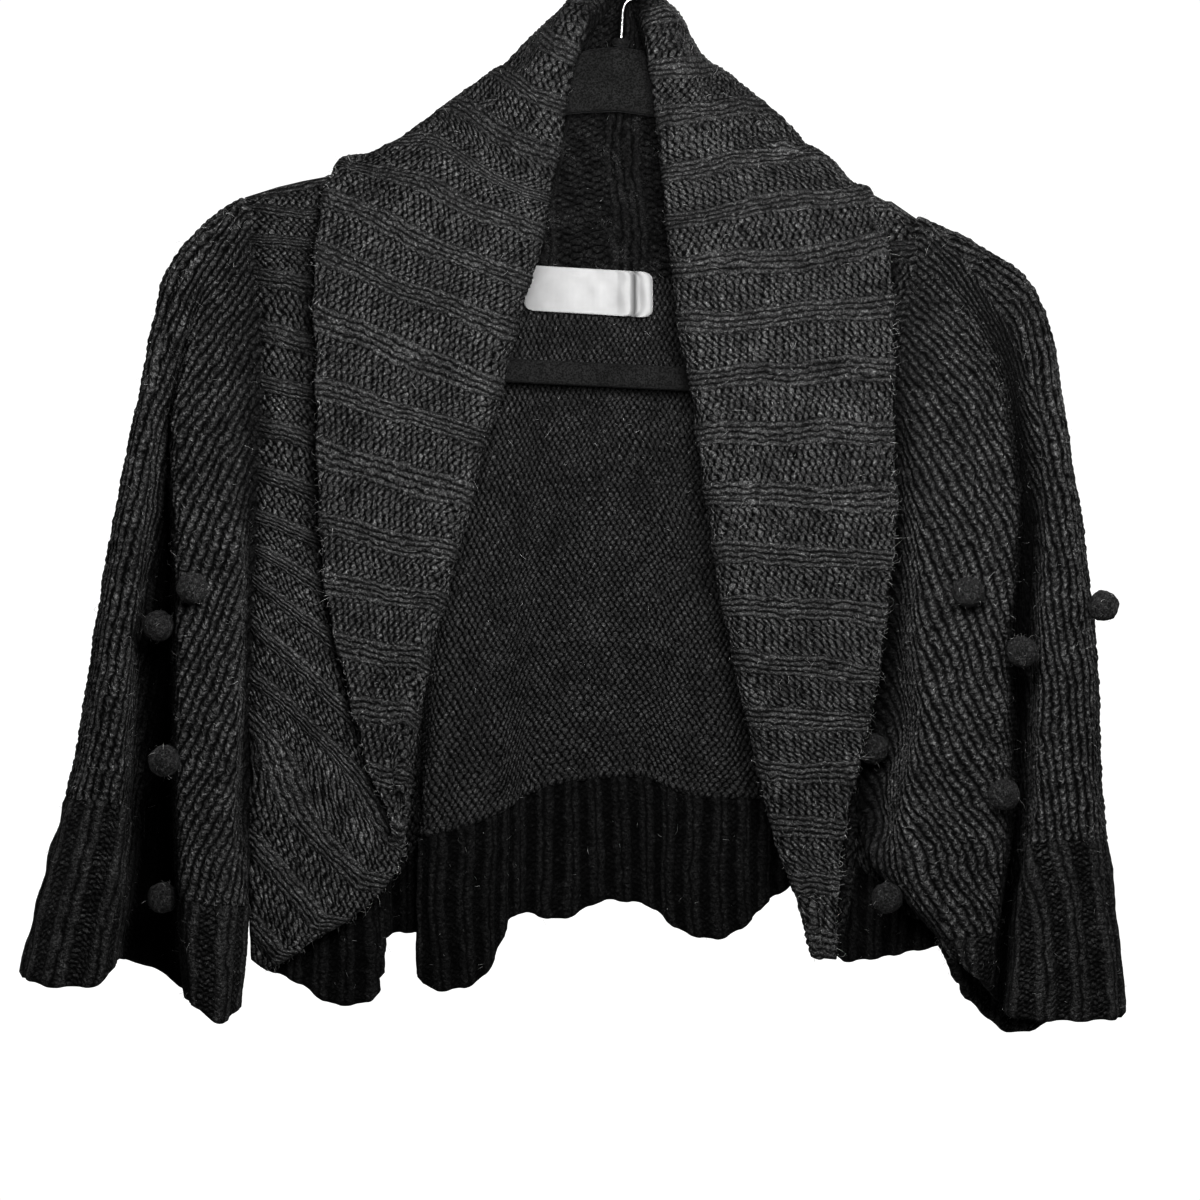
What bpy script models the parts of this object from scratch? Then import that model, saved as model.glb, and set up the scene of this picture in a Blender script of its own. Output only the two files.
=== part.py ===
"""A chunky knitted shrug with a wide shawl collar, hanging on a flocked clothes hanger.

The shrug has no fastenings. It is cut and knitted as a back panel, two dolman sleeves with
ribbed cuffs, a ribbed hem band and one wide ribbed band that runs up one front, round the
neck and down the other, folded over along its length as the collar. Felted balls are sewn to
the sleeves and a bare satin label to the back neck.

Frame: the origin is the inside top of the hook, where a rail holds it. +X is to the right as
seen from the front, +Y to the back, +Z up. Sizes and tables are in millimetres. A table's x
and z are where a point appears from EYE in the plane of the hanger (y = 0), and its y is its
depth; seen() moves it along that line of sight to its own depth.
"""

import math

import bpy
import numpy as np

MM = 0.001
EYE = np.array((-13.6, -1500.0, -343.0))
TILT = math.radians(2.8)  # the hanger hangs with its right end low

KNIT = 4.0  # thickness of the plain knit
RIB = 4.4  # thickness of the ribbed bands
SEAM_GAP = 0.6  # kept between the edges of two pieces
HEM_GAP = 1.6  # kept where the hem band is knitted on to the back's bent edge
CUFF_GAP = 0.8, 4.8  # the same on a cuff's flat stretches and on the steep sides of a fold
SKIN_GAP = 0.4  # kept between a piece and what it lies on

# ---------------------------------------------------------------- hanger
BODY_THICK = 5.6
BODY_BEVEL = 1.6
ARM_TOP = (  # x, z of the upper edge of one arm, from the neck to the end of the bar
    (0, -64.6), (7, -65), (25, -70), (50, -87), (75, -109), (103, -129.5), (125, -138.5),
    (149, -147), (172, -156), (196, -168.5), (206, -178), (213, -189), (216, -202),
    (215, -216), (210.5, -228), (203, -234.5), (190, -236),
)
ARM_INNER = (  # x, z of the opening's edge, from the neck to the bar
    (0, -97), (25, -99.5), (50, -111), (75, -128), (103, -148), (125, -157), (149, -165),
    (172, -174), (190, -184), (202, -196), (207, -208), (204, -219), (190, -224),
)
WIRE = 3.2
CROOK = 38.0  # inside diameter of the hook
CROOK_START, CROOK_END = -48, 196  # degrees, from where the bend joins to the tip
STEM_FOOT = -60.0
FERRULE_WIDE, FERRULE_HIGH = 8.6, 3.6

# ---------------------------------------------------------------- sleeves
# One row for each ring round the sleeve, from the arch over the hanger down to the cuff seam:
# where it leaves the front seam (x, y, z), the outer fold (x, y, z) and the back seam (x, y, z).
RINGS = {
    "left": (
        (-190.6, -8, -144, -191.6, 0, -141.5, -190.6, 8, -144),
        (-188, -11, -160, -203, 0, -149, -190.4, 11, -160),
        (-186, -12, -179, -218.5, 0, -162.5, -190.4, 13, -182),
        (-184, -13, -202, -230.5, 0, -180, -190.4, 15, -204),
        (-183, -13, -234, -238, 1, -211, -190.4, 18, -235),
        (-184, -12, -268, -245, 2, -247, -190.4, 21, -268),
        (-186, -11, -308, -254, 4, -291, -190.4, 25, -308),
        (-188, -10, -348, -264, 6, -349, -190.4, 28, -348),
        (-189, -9, -388, -270, 8, -389, -190.4, 30, -388),
        (-190, -8, -429, -277, 9, -428, -190.4, 30, -429),
        (-191, -8, -464, -280, 10, -439, -190.8, 20, -464),
        (-192, -8, -497, -281, 10, -444, -192, -6.6, -497),
        (-197, -8, -546, -304, 10, -532, -197, -6.6, -546),
    ),
    "right": (
        (144, -8, -152.5, 145, 0, -150, 144, 8, -152.5),
        (145.8, -11, -167, 157, 0, -157, 145.8, 11, -167),
        (141, -12, -187, 175.5, 0, -167, 146.5, 13, -187),
        (137, -13, -210, 192.5, 0, -176.5, 147.5, 15, -210),
        (134, -13, -237, 204.5, 1, -190, 148.5, 18, -237),
        (134, -12, -268, 213, 2, -215.5, 149.5, 21, -268),
        (134, -9, -300, 219, 3, -255, 150.5, 25, -300),
        (133, -4, -333, 226, 4, -298, 151.5, 28, -333),
        (130, 1, -366, 231, 5, -338, 152.5, 30, -366),
        (124, 4, -396, 235, 6, -383, 154, 32, -396),
        (119, 4, -424, 236, 7, -419, 155.5, 32, -426),
        (117, 2, -446, 237, 8, -439, 156.5, 30, -454),
        (121, -2, -469, 238, 8, -451, 157, 24, -479),
        (141, -8, -493, 239, 8, -459, 157.5, 12, -499),
        (158, -12, -513, 240, 8, -464, 158, -10.6, -513),
        (164, -12, -519, 249, 8, -546, 164, -10.6, -522),
    ),
}
# One row for each level of the long folds: z, then from the front seam outwards the inner edge
# and depth of the big fold, the inner edge and depth of the valley beside it, the inner edge
# and depth of the outer strip, and the depth of the back layer.
FOLDS = {
    "left": (
        (-192, -192, -12, -226, -12, -235, -11, 13),
        (-242, -195, -17, -226, -10, -236, -13, 19),
        (-278, -196, -22, -227, -6, -238, -14, 24),
        (-318, -192, -28, -226, 0, -243, -16, 29),
        (-363, -190, -32, -226, 8, -248, -17, 34),
        (-414, -190, -35, -226, 16, -251, -18, 39),
        (-469, -191, -37, -224, 20, -253, -18, 42),
        (-519, -194, -37, -220, 20, -258, -18, 42),
        (-555, -196, -35, -217, 20, -260, -18, 40),
    ),
    "right": (
        (-192, 145, -13, 180, -12, 185, -11, 13),
        (-242, 140, -18, 206, -12, 211, -11, 19),
        (-278, 140, -23, 196, -10, 211, -14, 24),
        (-318, 146, -28, 194, -6, 210, -16, 28),
        (-363, 144, -32, 190, 0, 208, -18, 32),
        (-404, 146, -35, 191, 8, 206, -19, 35),
        (-444, 137, -36, 191, 10, 204, -20, 38),
        (-479, 136, -36, 187, 10, 200, -20, 38),
        (-514, 160, -34, 182, 10, 195, -20, 36),
        (-545, 166, -30, 181, 8, 194, -20, 34),
    ),
}
FOLD_SOFT = (14.0, 5.0, 5.0)  # how wide each of the three edges turns
UNDERARM_ROUND = 14.0
OUTER_ROUND, BACK_ROUND = 9.0, 18.0
CUFF_RING = {"left": 11, "right": 14}  # the ring at the cuff seam
UNDERARM_RING = {"left": 9, "right": 11}  # where the front seam ends and the underarm begins
# x, z of the cuffs' lower edges, front layer then back layer, from the underarm outwards.
CUFF_EDGE = {
    "left": (
        ((-196, -545), (-200, -553), (-206, -557), (-214, -551), (-222, -541), (-234, -532),
         (-244, -527), (-259, -524), (-262, -533), (-267, -538), (-291, -538), (-306, -532)),
        ((-196, -545), (-204, -551), (-216, -541), (-240, -525), (-265, -523), (-306, -532)),
    ),
    "right": (
        ((163, -519), (170, -527), (180, -537), (188, -546), (194, -553), (211, -555),
         (227, -555), (247, -554), (251, -547)),
        ((163, -522), (171, -541), (181, -553), (193, -561), (203, -560), (213, -555),
         (251, -547)),
    ),
}

# ---------------------------------------------------------------- back and hem
# One row for each stretch of the hem band, from the left end to the right: where its seam to
# the back lies (x, y, z) and where its free edge lies (x, y, z). The two pleats are deep.
HEM = (
    (-187, 2, -490, -183, 3, -528),
    (-165, 1, -491, -165, 2, -536),
    (-145, 0, -487, -146, 1, -547),
    (-132, -1, -484, -130, 0, -546),
    (-127, 6, -481, -126, 7, -537),
    (-125, 32, -477, -124, 32, -515),
    (-121, 40, -475, -119, 41, -511),
    (-106, 40, -468, -106, 41, -510),
    (-102, 32, -465, -102, 32, -517),
    (-102, 6, -462, -103, 5, -534),
    (-98, -1, -461, -97, -3, -540),
    (-83, -2, -457, -81, -4, -538),
    (-68, 1, -451, -68, -2, -527),
    (-61, 8, -447, -62, 6, -507),
    (-54, 12, -442, -54, 14, -500),
    (-34, 10, -435, -34, 8, -504),
    (-14, 13, -432, -11, 16, -494),
    (6, 13, -431, 9, 16, -496),
    (27, 8, -439, 28, 6, -510),
    (43, 6, -442, 44, 4, -514),
    (57, 10, -442, 58, 10, -508),
    (72, 18, -442, 71, 22, -494),
    (87, 26, -445, 87, 32, -486),
    (101, 26, -455, 100, 26, -514),
    (112, 17, -469, 110, 14, -525),
    (128, 14, -487, 128, 12, -523),
    (144, 11, -503, 143, 10, -520),
    (154, 9, -509, 154, 8, -518),
)
SIDE_TURN = 36.0  # how far in from the sleeve seams the back bends to meet them
# The back neck seam, from the left shoulder to the right (x, y, z).
NECK = (
    (-189, 8.5, -146.5), (-165, 9.5, -161.5), (-140, 10.5, -171), (-115, 11.5, -176.8),
    (-90, 12, -179.6), (-65, 12.5, -180.5), (-38, 13, -180.5), (-12, 13, -180.5),
    (15, 13, -181.5), (42, 12.5, -182.5), (66, 12, -183.5), (88, 11.5, -184.6),
    (108, 10.5, -183), (126, 9.5, -173.5), (142, 8.5, -156),
)
# Depth of the hanging back: z, in the middle, at the left seam, at the right seam.
BACK_DEPTH = (
    (-144, 9, 8, 8), (-160, 11, 11, 10.5), (-182, 13, 13, 12.6), (-204, 13, 15, 14.6),
    (-235, 13, 18, 17.8), (-268, 13, 21, 21), (-308, 14, 25, 25.7), (-348, 15, 28, 29),
    (-388, 15, 30, 31.4), (-429, 15, 30, 32), (-464, 14, 20, 28), (-490, 14, 2, 17),
    (-512, 14, 2, 9),
)

# ---------------------------------------------------------------- collar band
# One row for each section across the band, from the bottom of the left front over the neck to
# the bottom of the right front: the seam, the fold and the free edge (x, y, z each) and the
# radius that the fold is rolled to. Where the band goes over the hanger, a section adds one
# point of the turned-over layer, and three of the standing layer whose third number is their
# height above the upper edge of the hanger.
COLLAR = (
    dict(seam=(-188, -8, -525), fold=(-184, -9, -528), edge=(-181, -10, -530), roll=0),
    dict(seam=(-188.5, -8, -502), fold=(-165, -13, -513), edge=(-158, -14, -515), roll=0),
    dict(seam=(-188.5, -8, -469), fold=(-138, -14, -490), edge=(-128, -16, -494), roll=0),
    dict(seam=(-188.5, -8, -439), fold=(-120, -15, -466), edge=(-113, -18, -469), roll=0),
    dict(seam=(-189, -9, -411), fold=(-111, -17, -458), edge=(-116, -21.5, -460), roll=4),
    dict(seam=(-188.6, -9, -383), fold=(-108, -18, -431), edge=(-128, -24, -433), roll=6),
    dict(seam=(-187.6, -10, -343), fold=(-102, -19, -388), edge=(-140, -25, -391), roll=7),
    dict(seam=(-185.6, -11, -303), fold=(-87, -20, -328), edge=(-153, -26, -329), roll=8),
    dict(seam=(-183.6, -12, -260), fold=(-73, -20, -274), edge=(-156, -26, -275), roll=8),
    dict(seam=(-182.6, -13, -215), fold=(-60, -20, -227), edge=(-157, -26, -218), roll=8),
    dict(seam=(-185.2, -12, -177), fold=(-52, -21, -194), edge=(-158, -25, -182), roll=8),
    dict(seam=(-187.6, -11, -158), fold=(-44, -21, -170),
         fall=(-100, -27, -161), edge=(-155, -20, -148), roll=8),
    dict(seam=(-189, -7.5, -143), stand=((-165, -9, -4), (-140, -10, -8), (-105, -12, -22)),
         fold=(-40, -20, -149), fall=(-100, -23, -136), edge=(-148, -8, -127), roll=8),
    dict(seam=(-189.4, 0, -141), stand=((-172, -0.5, 6.5), (-152, -5, 4.5), (-125, -9, -2)),
         fold=(-38.5, -20, -141), fall=(-110, -12, -119), edge=(-142, 3, -121.5), roll=8),
    dict(seam=(-189, 7.5, -144), stand=((-166, 7, 3), (-148, 0, 6), (-122, -8, 0)),
         fold=(-37, -20, -133), fall=(-103, -5, -108.5), edge=(-133, 14, -129), roll=8),
    dict(seam=(-165, 9.5, -160), stand=((-142, 8.5, 0), (-122, 0, 6), (-96, -8.5, 0)),
         fold=(-34, -19, -118), fall=(-90, 1, -96.5), edge=(-111, 24, -134), roll=8),
    dict(seam=(-140, 10.5, -170), stand=((-116, 8.5, 0), (-97, 0, 6), (-73, -8.5, 0)),
         fold=(-31.5, -17, -100), fall=(-73, 4, -83.5), edge=(-88, 32, -135), roll=8),
    dict(seam=(-115, 11.5, -176), stand=((-90, 8.5, 0), (-74, 0, 6), (-54, -8.5, 0)),
         fold=(-28.5, -18, -84), fall=(-58, 7, -73), edge=(-68, 38, -132), roll=8),
    dict(seam=(-90, 12, -179), stand=((-67, 9, 0), (-53, 1, 6), (-38, -8, 2)),
         fold=(-26, -20, -68), fall=(-45, 10, -59.5), edge=(-52, 42, -127), roll=8),
    dict(seam=(-65, 12.5, -180), stand=((-46, 11, -10), (-36, 7, 3), (-28, 1, 8)),
         fold=(-20.5, -7, -50), fall=(-32, 17, -47.5), edge=(-36, 46, -121), roll=8),
    dict(seam=(-38, 13, -180), stand=((-30, 12.5, -45), (-22, 12, -10), (-17, 11, 12)),
         fold=(-13.5, 9, -35), fall=(-19, 28, -39), edge=(-20, 48, -115), roll=8),
    dict(seam=(-12, 13, -180), stand=((-9, 12.5, -50), (-7, 12.5, -15), (-5, 12.5, 8)),
         fold=(-3, 14, -28), fall=(-3, 32, -38), edge=(-4, 49, -112), roll=8),
    dict(seam=(15, 13, -181), stand=((12, 12.5, -48), (10, 12, -14), (8, 11, 10)),
         fold=(6, 9, -35), fall=(12, 28, -39), edge=(12, 48, -115), roll=8),
    dict(seam=(42, 12.5, -182), stand=((30, 11, -14), (23, 7, 3), (17, 1, 9)),
         fold=(8, -7, -50), fall=(25, 17, -49.5), edge=(29, 46, -122), roll=8),
    dict(seam=(66, 12, -183), stand=((46, 9, 0), (34, 1, 6), (21, -8, 2)),
         fold=(10, -20, -67), fall=(36, 10, -69), edge=(46, 42, -131), roll=8),
    dict(seam=(88, 11.5, -184), stand=((66, 8.5, 0), (52, 0, 6), (34, -8.5, 0)),
         fold=(12, -18, -83), fall=(51, 7, -81), edge=(64, 38, -137), roll=8),
    dict(seam=(108, 10.5, -182), stand=((86, 8.5, 0), (69, 0, 6), (46, -8.5, 0)),
         fold=(14, -17, -99), fall=(67, 4, -94), edge=(84, 32, -142), roll=8),
    dict(seam=(126, 9.5, -172), stand=((104, 8.5, 0), (86, 0, 6), (60, -8.5, 0)),
         fold=(16, -19, -119), fall=(84, 1, -111), edge=(103, 24, -145), roll=8),
    dict(seam=(141, 7.5, -153.5), stand=((124, 6.5, 3), (110, 0, 5.5), (84, -9, -1)),
         fold=(18, -20, -136), fall=(99, -5, -125.5), edge=(117, 12, -140), roll=8),
    dict(seam=(142, 0, -150), stand=((130, -1, 5), (112, -6, 3), (88, -10, -12)),
         fold=(19, -20, -148), fall=(96, -13, -135), edge=(121.5, 1, -136.5), roll=8),
    dict(seam=(142, -7.5, -153), stand=((126, -10.5, -1), (100, -12, -18), (60, -15, -52)),
         fold=(20, -20, -159), fall=(88, -21, -149), edge=(125, -9, -144), roll=8),
    dict(seam=(144, -11, -167), fold=(22, -21, -177),
         fall=(82, -27, -171), edge=(131, -20, -163), roll=8),
    dict(seam=(140, -12, -189), fold=(24, -21, -196), edge=(134, -25, -186), roll=8),
    dict(seam=(136, -13, -215), fold=(28, -20, -217), edge=(135, -26, -212), roll=8),
    dict(seam=(133.4, -13, -252), fold=(34, -20, -252), edge=(134, -26, -250), roll=8),
    dict(seam=(133.4, -9, -298), fold=(40, -20, -298), edge=(136, -27, -299), roll=8),
    dict(seam=(132, -3, -338), fold=(46, -20, -338), edge=(132, -27, -338), roll=8),
    dict(seam=(127, 2, -373), fold=(53, -20, -373), edge=(128, -27, -373), roll=8),
    dict(seam=(120, 4, -409), fold=(61, -20, -409), edge=(121, -27, -408), roll=8),
    dict(seam=(115, 2, -442), fold=(68, -19, -440), edge=(114, -26, -438), roll=7),
    dict(seam=(114, -2, -469), fold=(76, -19, -469), edge=(108, -26, -469), roll=7),
    dict(seam=(111, -6, -497), fold=(85, -18, -494), edge=(106, -25, -494), roll=6),
    dict(seam=(105, -9, -522), fold=(93, -17, -523), edge=(105, -24, -524), roll=6),
)

# ---------------------------------------------------------------- small pieces
LABEL = dict(left=-52.0, right=13.0, top=-176.0, bottom=-199.0, thick=0.8)
BALL = 15.5  # diameter of a felted ball
BALL_GAP = 1.0
# x, z of the balls' middles as they appear from the front, on the front and back layers.
BALLS = {
    "left": (
        ((-219, -337), (-236, -356), (-233, -424), (-234, -493)),
        ((-214, -300), (-240, -392), (-208, -470)),
    ),
    "right": (
        ((172, -339), (199, -369), (240, -346), (124, -418), (190, -441), (131, -493)),
        ((176, -290), (205, -395), (172, -468)),
    ),
}

# sRGB-like linear colours, roughness, metallic
FINISH = {
    "yarn": ((0.022, 0.022, 0.023), 0.95, 0.0),
    "satin": ((0.80, 0.79, 0.77), 0.45, 0.0),
    "flock": ((0.020, 0.020, 0.021), 0.9, 0.0),
    "chrome": ((0.70, 0.70, 0.70), 0.18, 1.0),
}


# ---------------------------------------------------------------- curves and surfaces
def smooth(knots, values, at):
    """Values at the places `at` on a smooth curve through the knots that never overshoots."""
    knots = np.asarray(knots, float)
    values = np.asarray(values, float)
    at = np.clip(np.asarray(at, float), knots[0], knots[-1])
    flat = values.reshape(len(knots), -1)
    gaps = np.diff(knots)[:, None]
    rise = np.diff(flat, axis=0) / gaps
    tangent = np.zeros_like(flat)
    tangent[0], tangent[-1] = rise[0], rise[-1]
    both = rise[:-1] * rise[1:]
    total = rise[:-1] + rise[1:]
    tangent[1:-1] = np.where(both > 0, 2 * both / np.where(total == 0, 1, total), 0)
    i = np.clip(np.searchsorted(knots, at, side="right") - 1, 0, len(knots) - 2)
    gap = gaps[i]
    t = (at - knots[i])[..., None] / gap
    result = (
        flat[i] * (1 + 2 * t) * (1 - t) ** 2
        + tangent[i] * gap * t * (1 - t) ** 2
        + flat[i + 1] * t * t * (3 - 2 * t)
        + tangent[i + 1] * gap * t * t * (t - 1)
    )
    return result.reshape(at.shape + values.shape[1:])


def ease(t):
    """0 to 1 with flat ends."""
    t = np.clip(t, 0, 1)
    return t * t * (3 - 2 * t)


def quarter(t):
    """Height of a quarter circle at the distance t from its edge."""
    return np.sqrt(1 - (1 - np.clip(t, 0, 1)) ** 2)


def seen(points):
    """Moves each point along its line of sight from EYE to its own depth."""
    points = np.array(points, float)
    reach = 1 - points[..., 1:2] / EYE[1]
    points[..., 0::2] = EYE[0::2] + (points[..., 0::2] - EYE[0::2]) * reach
    return points


def chord(points):
    """Distance along each row of points, from its first one."""
    steps = np.linalg.norm(np.diff(points, axis=-2), axis=-1)
    return np.concatenate((np.zeros(steps.shape[:-1] + (1,)), np.cumsum(steps, axis=-1)), axis=-1)


def even(points, count):
    """The polyline's points moved to `count` equal steps along it."""
    along = chord(points)
    places = np.linspace(0, along[-1], count + 1)
    return np.stack([np.interp(places, along, points[:, k]) for k in range(3)], axis=1)


def spread(counts):
    """Places between marks 0, 1, 2...: `counts` equal steps in each stretch."""
    stretches = [i + np.arange(n) / n for i, n in enumerate(counts)]
    return np.concatenate(stretches + [[len(counts)]])


def between(anchors, at):
    """Straight-line values between the columns of `anchors` at the places `at`."""
    i = np.clip(np.floor(at).astype(int), 0, anchors.shape[1] - 2)
    t = at - i
    return anchors[:, i] * (1 - t) + anchors[:, i + 1] * t


# ---------------------------------------------------------------- sleeve form
def sleeve_front(side, rings, at):
    """Front layer: rows for the rings, columns from the front seam (0) to the outer fold (8)."""
    sign = 1 if side == "right" else -1
    table = np.array(RINGS[side], float)
    row = smooth(range(len(table)), table, rings)
    seam, outer = row[:, 0:3], row[:, 3:6]
    folds = np.array(FOLDS[side], float)
    near = smooth(-folds[:, 0], folds, -seam[:, 2])
    middle = smooth(-folds[:, 0], folds, -(seam[:, 2] + outer[:, 2]) / 2)
    far = smooth(-folds[:, 0], folds, -outer[:, 2])
    start, end = sign * seam[:, 0], sign * outer[:, 0]
    length = end - start
    rounding = np.minimum(OUTER_ROUND, 0.6 * length)
    edges = np.stack((
        start,
        sign * near[:, 1] - FOLD_SOFT[0] / 2,
        sign * near[:, 1] + FOLD_SOFT[0] / 2,
        sign * middle[:, 3] - FOLD_SOFT[1] / 2,
        sign * middle[:, 3] + FOLD_SOFT[1] / 2,
        sign * far[:, 5] - FOLD_SOFT[2] / 2,
        sign * far[:, 5] + FOLD_SOFT[2] / 2,
        end - rounding,
        end,
    ), axis=1)
    for k in range(1, 8):
        edges[:, k] = np.maximum(edges[:, k], edges[:, k - 1] + 0.06 * length)
    for k in range(7, 0, -1):
        edges[:, k] = np.minimum(edges[:, k], edges[:, k + 1] - 0.06 * length)
    plain = start[:, None] + length[:, None] * np.array((0, .12, .25, .4, .46, .52, .6, .75, 1))
    folded = ease((np.asarray(rings) - 1.5) / 3)[:, None]
    edges = plain * (1 - folded) + edges * folded
    x = between(edges, at)
    under = ease((np.asarray(rings) - UNDERARM_RING[side]) / 2)[:, None]
    flat = ease(at - 1)[None, :]
    turned = quarter((x - start[:, None]) / UNDERARM_ROUND)
    rise = flat * (1 - under) + turned * under
    y = seam[:, 1:2] + (near[:, 2:3] - seam[:, 1:2]) * rise
    y = y + (middle[:, 4:5] - near[:, 2:3]) * ease(at - 3)
    y = y + (far[:, 6:7] - middle[:, 4:5]) * ease(at - 5)
    y = outer[:, 1:2] + (y - outer[:, 1:2]) * quarter(8 - at)
    x_round = end[:, None] - (end - edges[:, 7])[:, None] * (8 - at)
    x = np.where(at > 7, x_round, x)
    slant = ease((at - 2.5) / 4) * folded + (x - start[:, None]) / length[:, None] * (1 - folded)
    z = seam[:, 2:3] + (outer[:, 2:3] - seam[:, 2:3]) * slant
    return np.stack((sign * x, y, z), axis=-1)


def sleeve_back(side, rings, at):
    """Back layer: rows for the rings, columns from the outer fold (0) to the back seam (4)."""
    sign = 1 if side == "right" else -1
    table = np.array(RINGS[side], float)
    row = smooth(range(len(table)), table, rings)
    outer, seam = row[:, 3:6], row[:, 6:9]
    folds = np.array(FOLDS[side], float)
    level = smooth(-folds[:, 0], folds, -(seam[:, 2] + outer[:, 2]) / 2)[:, 7:8]
    start, end = sign * outer[:, 0], sign * seam[:, 0]
    length = start - end
    shares = np.array((0, .16, .5, .86, 1))
    x = start[:, None] - length[:, None] * np.interp(at, range(5), shares)
    under = ease((np.asarray(rings) - UNDERARM_RING[side]) / 2)[:, None]
    reach = np.minimum(BACK_ROUND, 0.6 * length)[:, None]
    inner = quarter((x - end[:, None]) / UNDERARM_ROUND)
    flat = ease((x - end[:, None]) / (0.6 * length[:, None]))
    y = seam[:, 1:2] + (level - seam[:, 1:2]) * (flat * (1 - under) + inner * under)
    y = outer[:, 1:2] + (y - outer[:, 1:2]) * quarter((start[:, None] - x) / reach)
    z = outer[:, 2:3] + (seam[:, 2:3] - outer[:, 2:3]) * ease((at - 0.5) / 3)
    return np.stack((sign * x, y, z), axis=-1)


def sleeve_grid(side, rings, front_counts, back_counts):
    """Rings round the sleeve: front seam, front layer, outer fold, back layer, back seam."""
    front = sleeve_front(side, rings, spread(front_counts))
    back = sleeve_back(side, rings, spread(back_counts))
    return np.concatenate((front, back[:, 1:]), axis=1)


def cuff_grid(side, rows, front_counts, back_counts):
    """The cuff, from the ring at its seam to its shaped lower edge."""
    first = CUFF_RING[side]
    top = sleeve_grid(side, [first], front_counts, back_counts)[0]
    low = sleeve_grid(side, [first + 1], front_counts, back_counts)[0]
    count = sum(front_counts) + 1
    sign = 1 if side == "right" else -1
    for part, edge in zip((slice(0, count), slice(count, None)), CUFF_EDGE[side]):
        edge = np.array(edge, float)
        low[part, 2] = smooth(sign * edge[:, 0], edge[:, 1], sign * low[part, 0])
    share = np.linspace(0, 1, rows + 1)[:, None, None]
    along = np.gradient(top, axis=0)
    steep = np.abs(along[:, 1]) / np.linalg.norm(along, axis=1)
    steep = np.max((np.roll(steep, 1), steep, np.roll(steep, -1)), axis=0)
    gap = (CUFF_GAP[0] + (CUFF_GAP[1] - CUFF_GAP[0]) * steep) / np.linalg.norm(low - top, axis=1)
    gap = gap[:, None]
    return top + (low - top) * (gap + (1 - gap) * share)


# ---------------------------------------------------------------- back, hem and collar form
def hem_lines(count):
    """The hem band's seam and free edge, each as `count` equal steps."""
    table = np.array(HEM, float)
    knots = chord(table[:, :3])
    dense = smooth(knots, table, np.linspace(0, knots[-1], 600))
    along = chord(dense[:, :3])
    places = np.interp(np.linspace(0, along[-1], count + 1), along, np.arange(600))
    table = smooth(range(600), dense, places)
    return table[:, :3], table[:, 3:]


def back_grid(columns, rows):
    """The back panel: its top follows the neck seam and its bottom the hem's seam and pleats."""
    bottom, _ = hem_lines(columns)
    neck = np.array(NECK, float)
    dense = smooth(chord(neck), neck, np.linspace(0, chord(neck)[-1], 400))
    top = even(dense, columns)
    share = np.linspace(0, 1, rows + 1)[:, None]
    x = top[:, 0] + (bottom[:, 0] - top[:, 0]) * share
    x += SEAM_GAP * np.linspace(1, -1, columns + 1)
    z = top[:, 2] + (bottom[:, 2] - top[:, 2]) * share
    depth = np.array(BACK_DEPTH, float)
    level = smooth(-depth[:, 0], depth, -z)
    pleat = share ** 3
    near_top = (1 - share) ** 6
    y = (level[..., 1] * (1 - near_top) + top[:, 1] * near_top) * (1 - pleat) + bottom[:, 1] * pleat
    for edge, column in ((0, 2), (-1, 3)):
        inward = np.abs(x - x[:, edge][:, None]) / SIDE_TURN
        y = level[..., column] + (y - level[..., column]) * ease(inward)
    return np.stack((x, y, z), axis=-1)


def hem_grid(columns, rows):
    """The hem band, hanging from the seam with the same pleats."""
    top, low = hem_lines(columns)
    share = np.linspace(0, 1, rows + 1)[:, None, None]
    gap = HEM_GAP / np.linalg.norm(low - top, axis=1)[:, None]
    return top + (low - top) * (gap + (1 - gap) * share)


def arm_top(x):
    """Height of the upper edge of the tilted hanger at x."""
    table = np.array(ARM_TOP[:11], float)
    both = np.concatenate((table[:0:-1] * (-1, 1), table))
    turned_x = both[:, 0] * math.cos(TILT) + both[:, 1] * math.sin(TILT)
    turned_z = both[:, 1] * math.cos(TILT) - both[:, 0] * math.sin(TILT)
    return float(np.interp(x, turned_x, turned_z))


def collar_controls(section, forward):
    """The nine points that one section across the band, which runs forward, goes through."""
    seam, fold, edge = (np.array(section[k], float) for k in ("seam", "fold", "edge"))
    roll = section["roll"]
    stand = [seam + (fold - seam) * share for share in (0.25, 0.5, 0.75)]
    if "stand" in section:
        stand = [np.array((x, y, arm_top(x) + above)) for x, y, above in section["stand"]]
    bulge = np.array((0, -0.5 * roll, 0))
    fall = np.array(section.get("fall", (fold + edge) / 2 + bulge), float)
    if roll == 0:
        return [seam, *stand, stand[2] * .4 + fold * .6, fold, fold * .7 + edge * .3,
                fold * .4 + edge * .6, edge]
    out = fold - (stand[2] + fall) / 2
    out /= np.linalg.norm(out)
    fold = fold - out * RIB / 2
    apart = np.cross(out, forward)
    apart /= np.linalg.norm(apart)
    base = fold - out * roll
    return [seam, *stand, base - apart * roll, fold, base + apart * roll, fall, edge]


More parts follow.
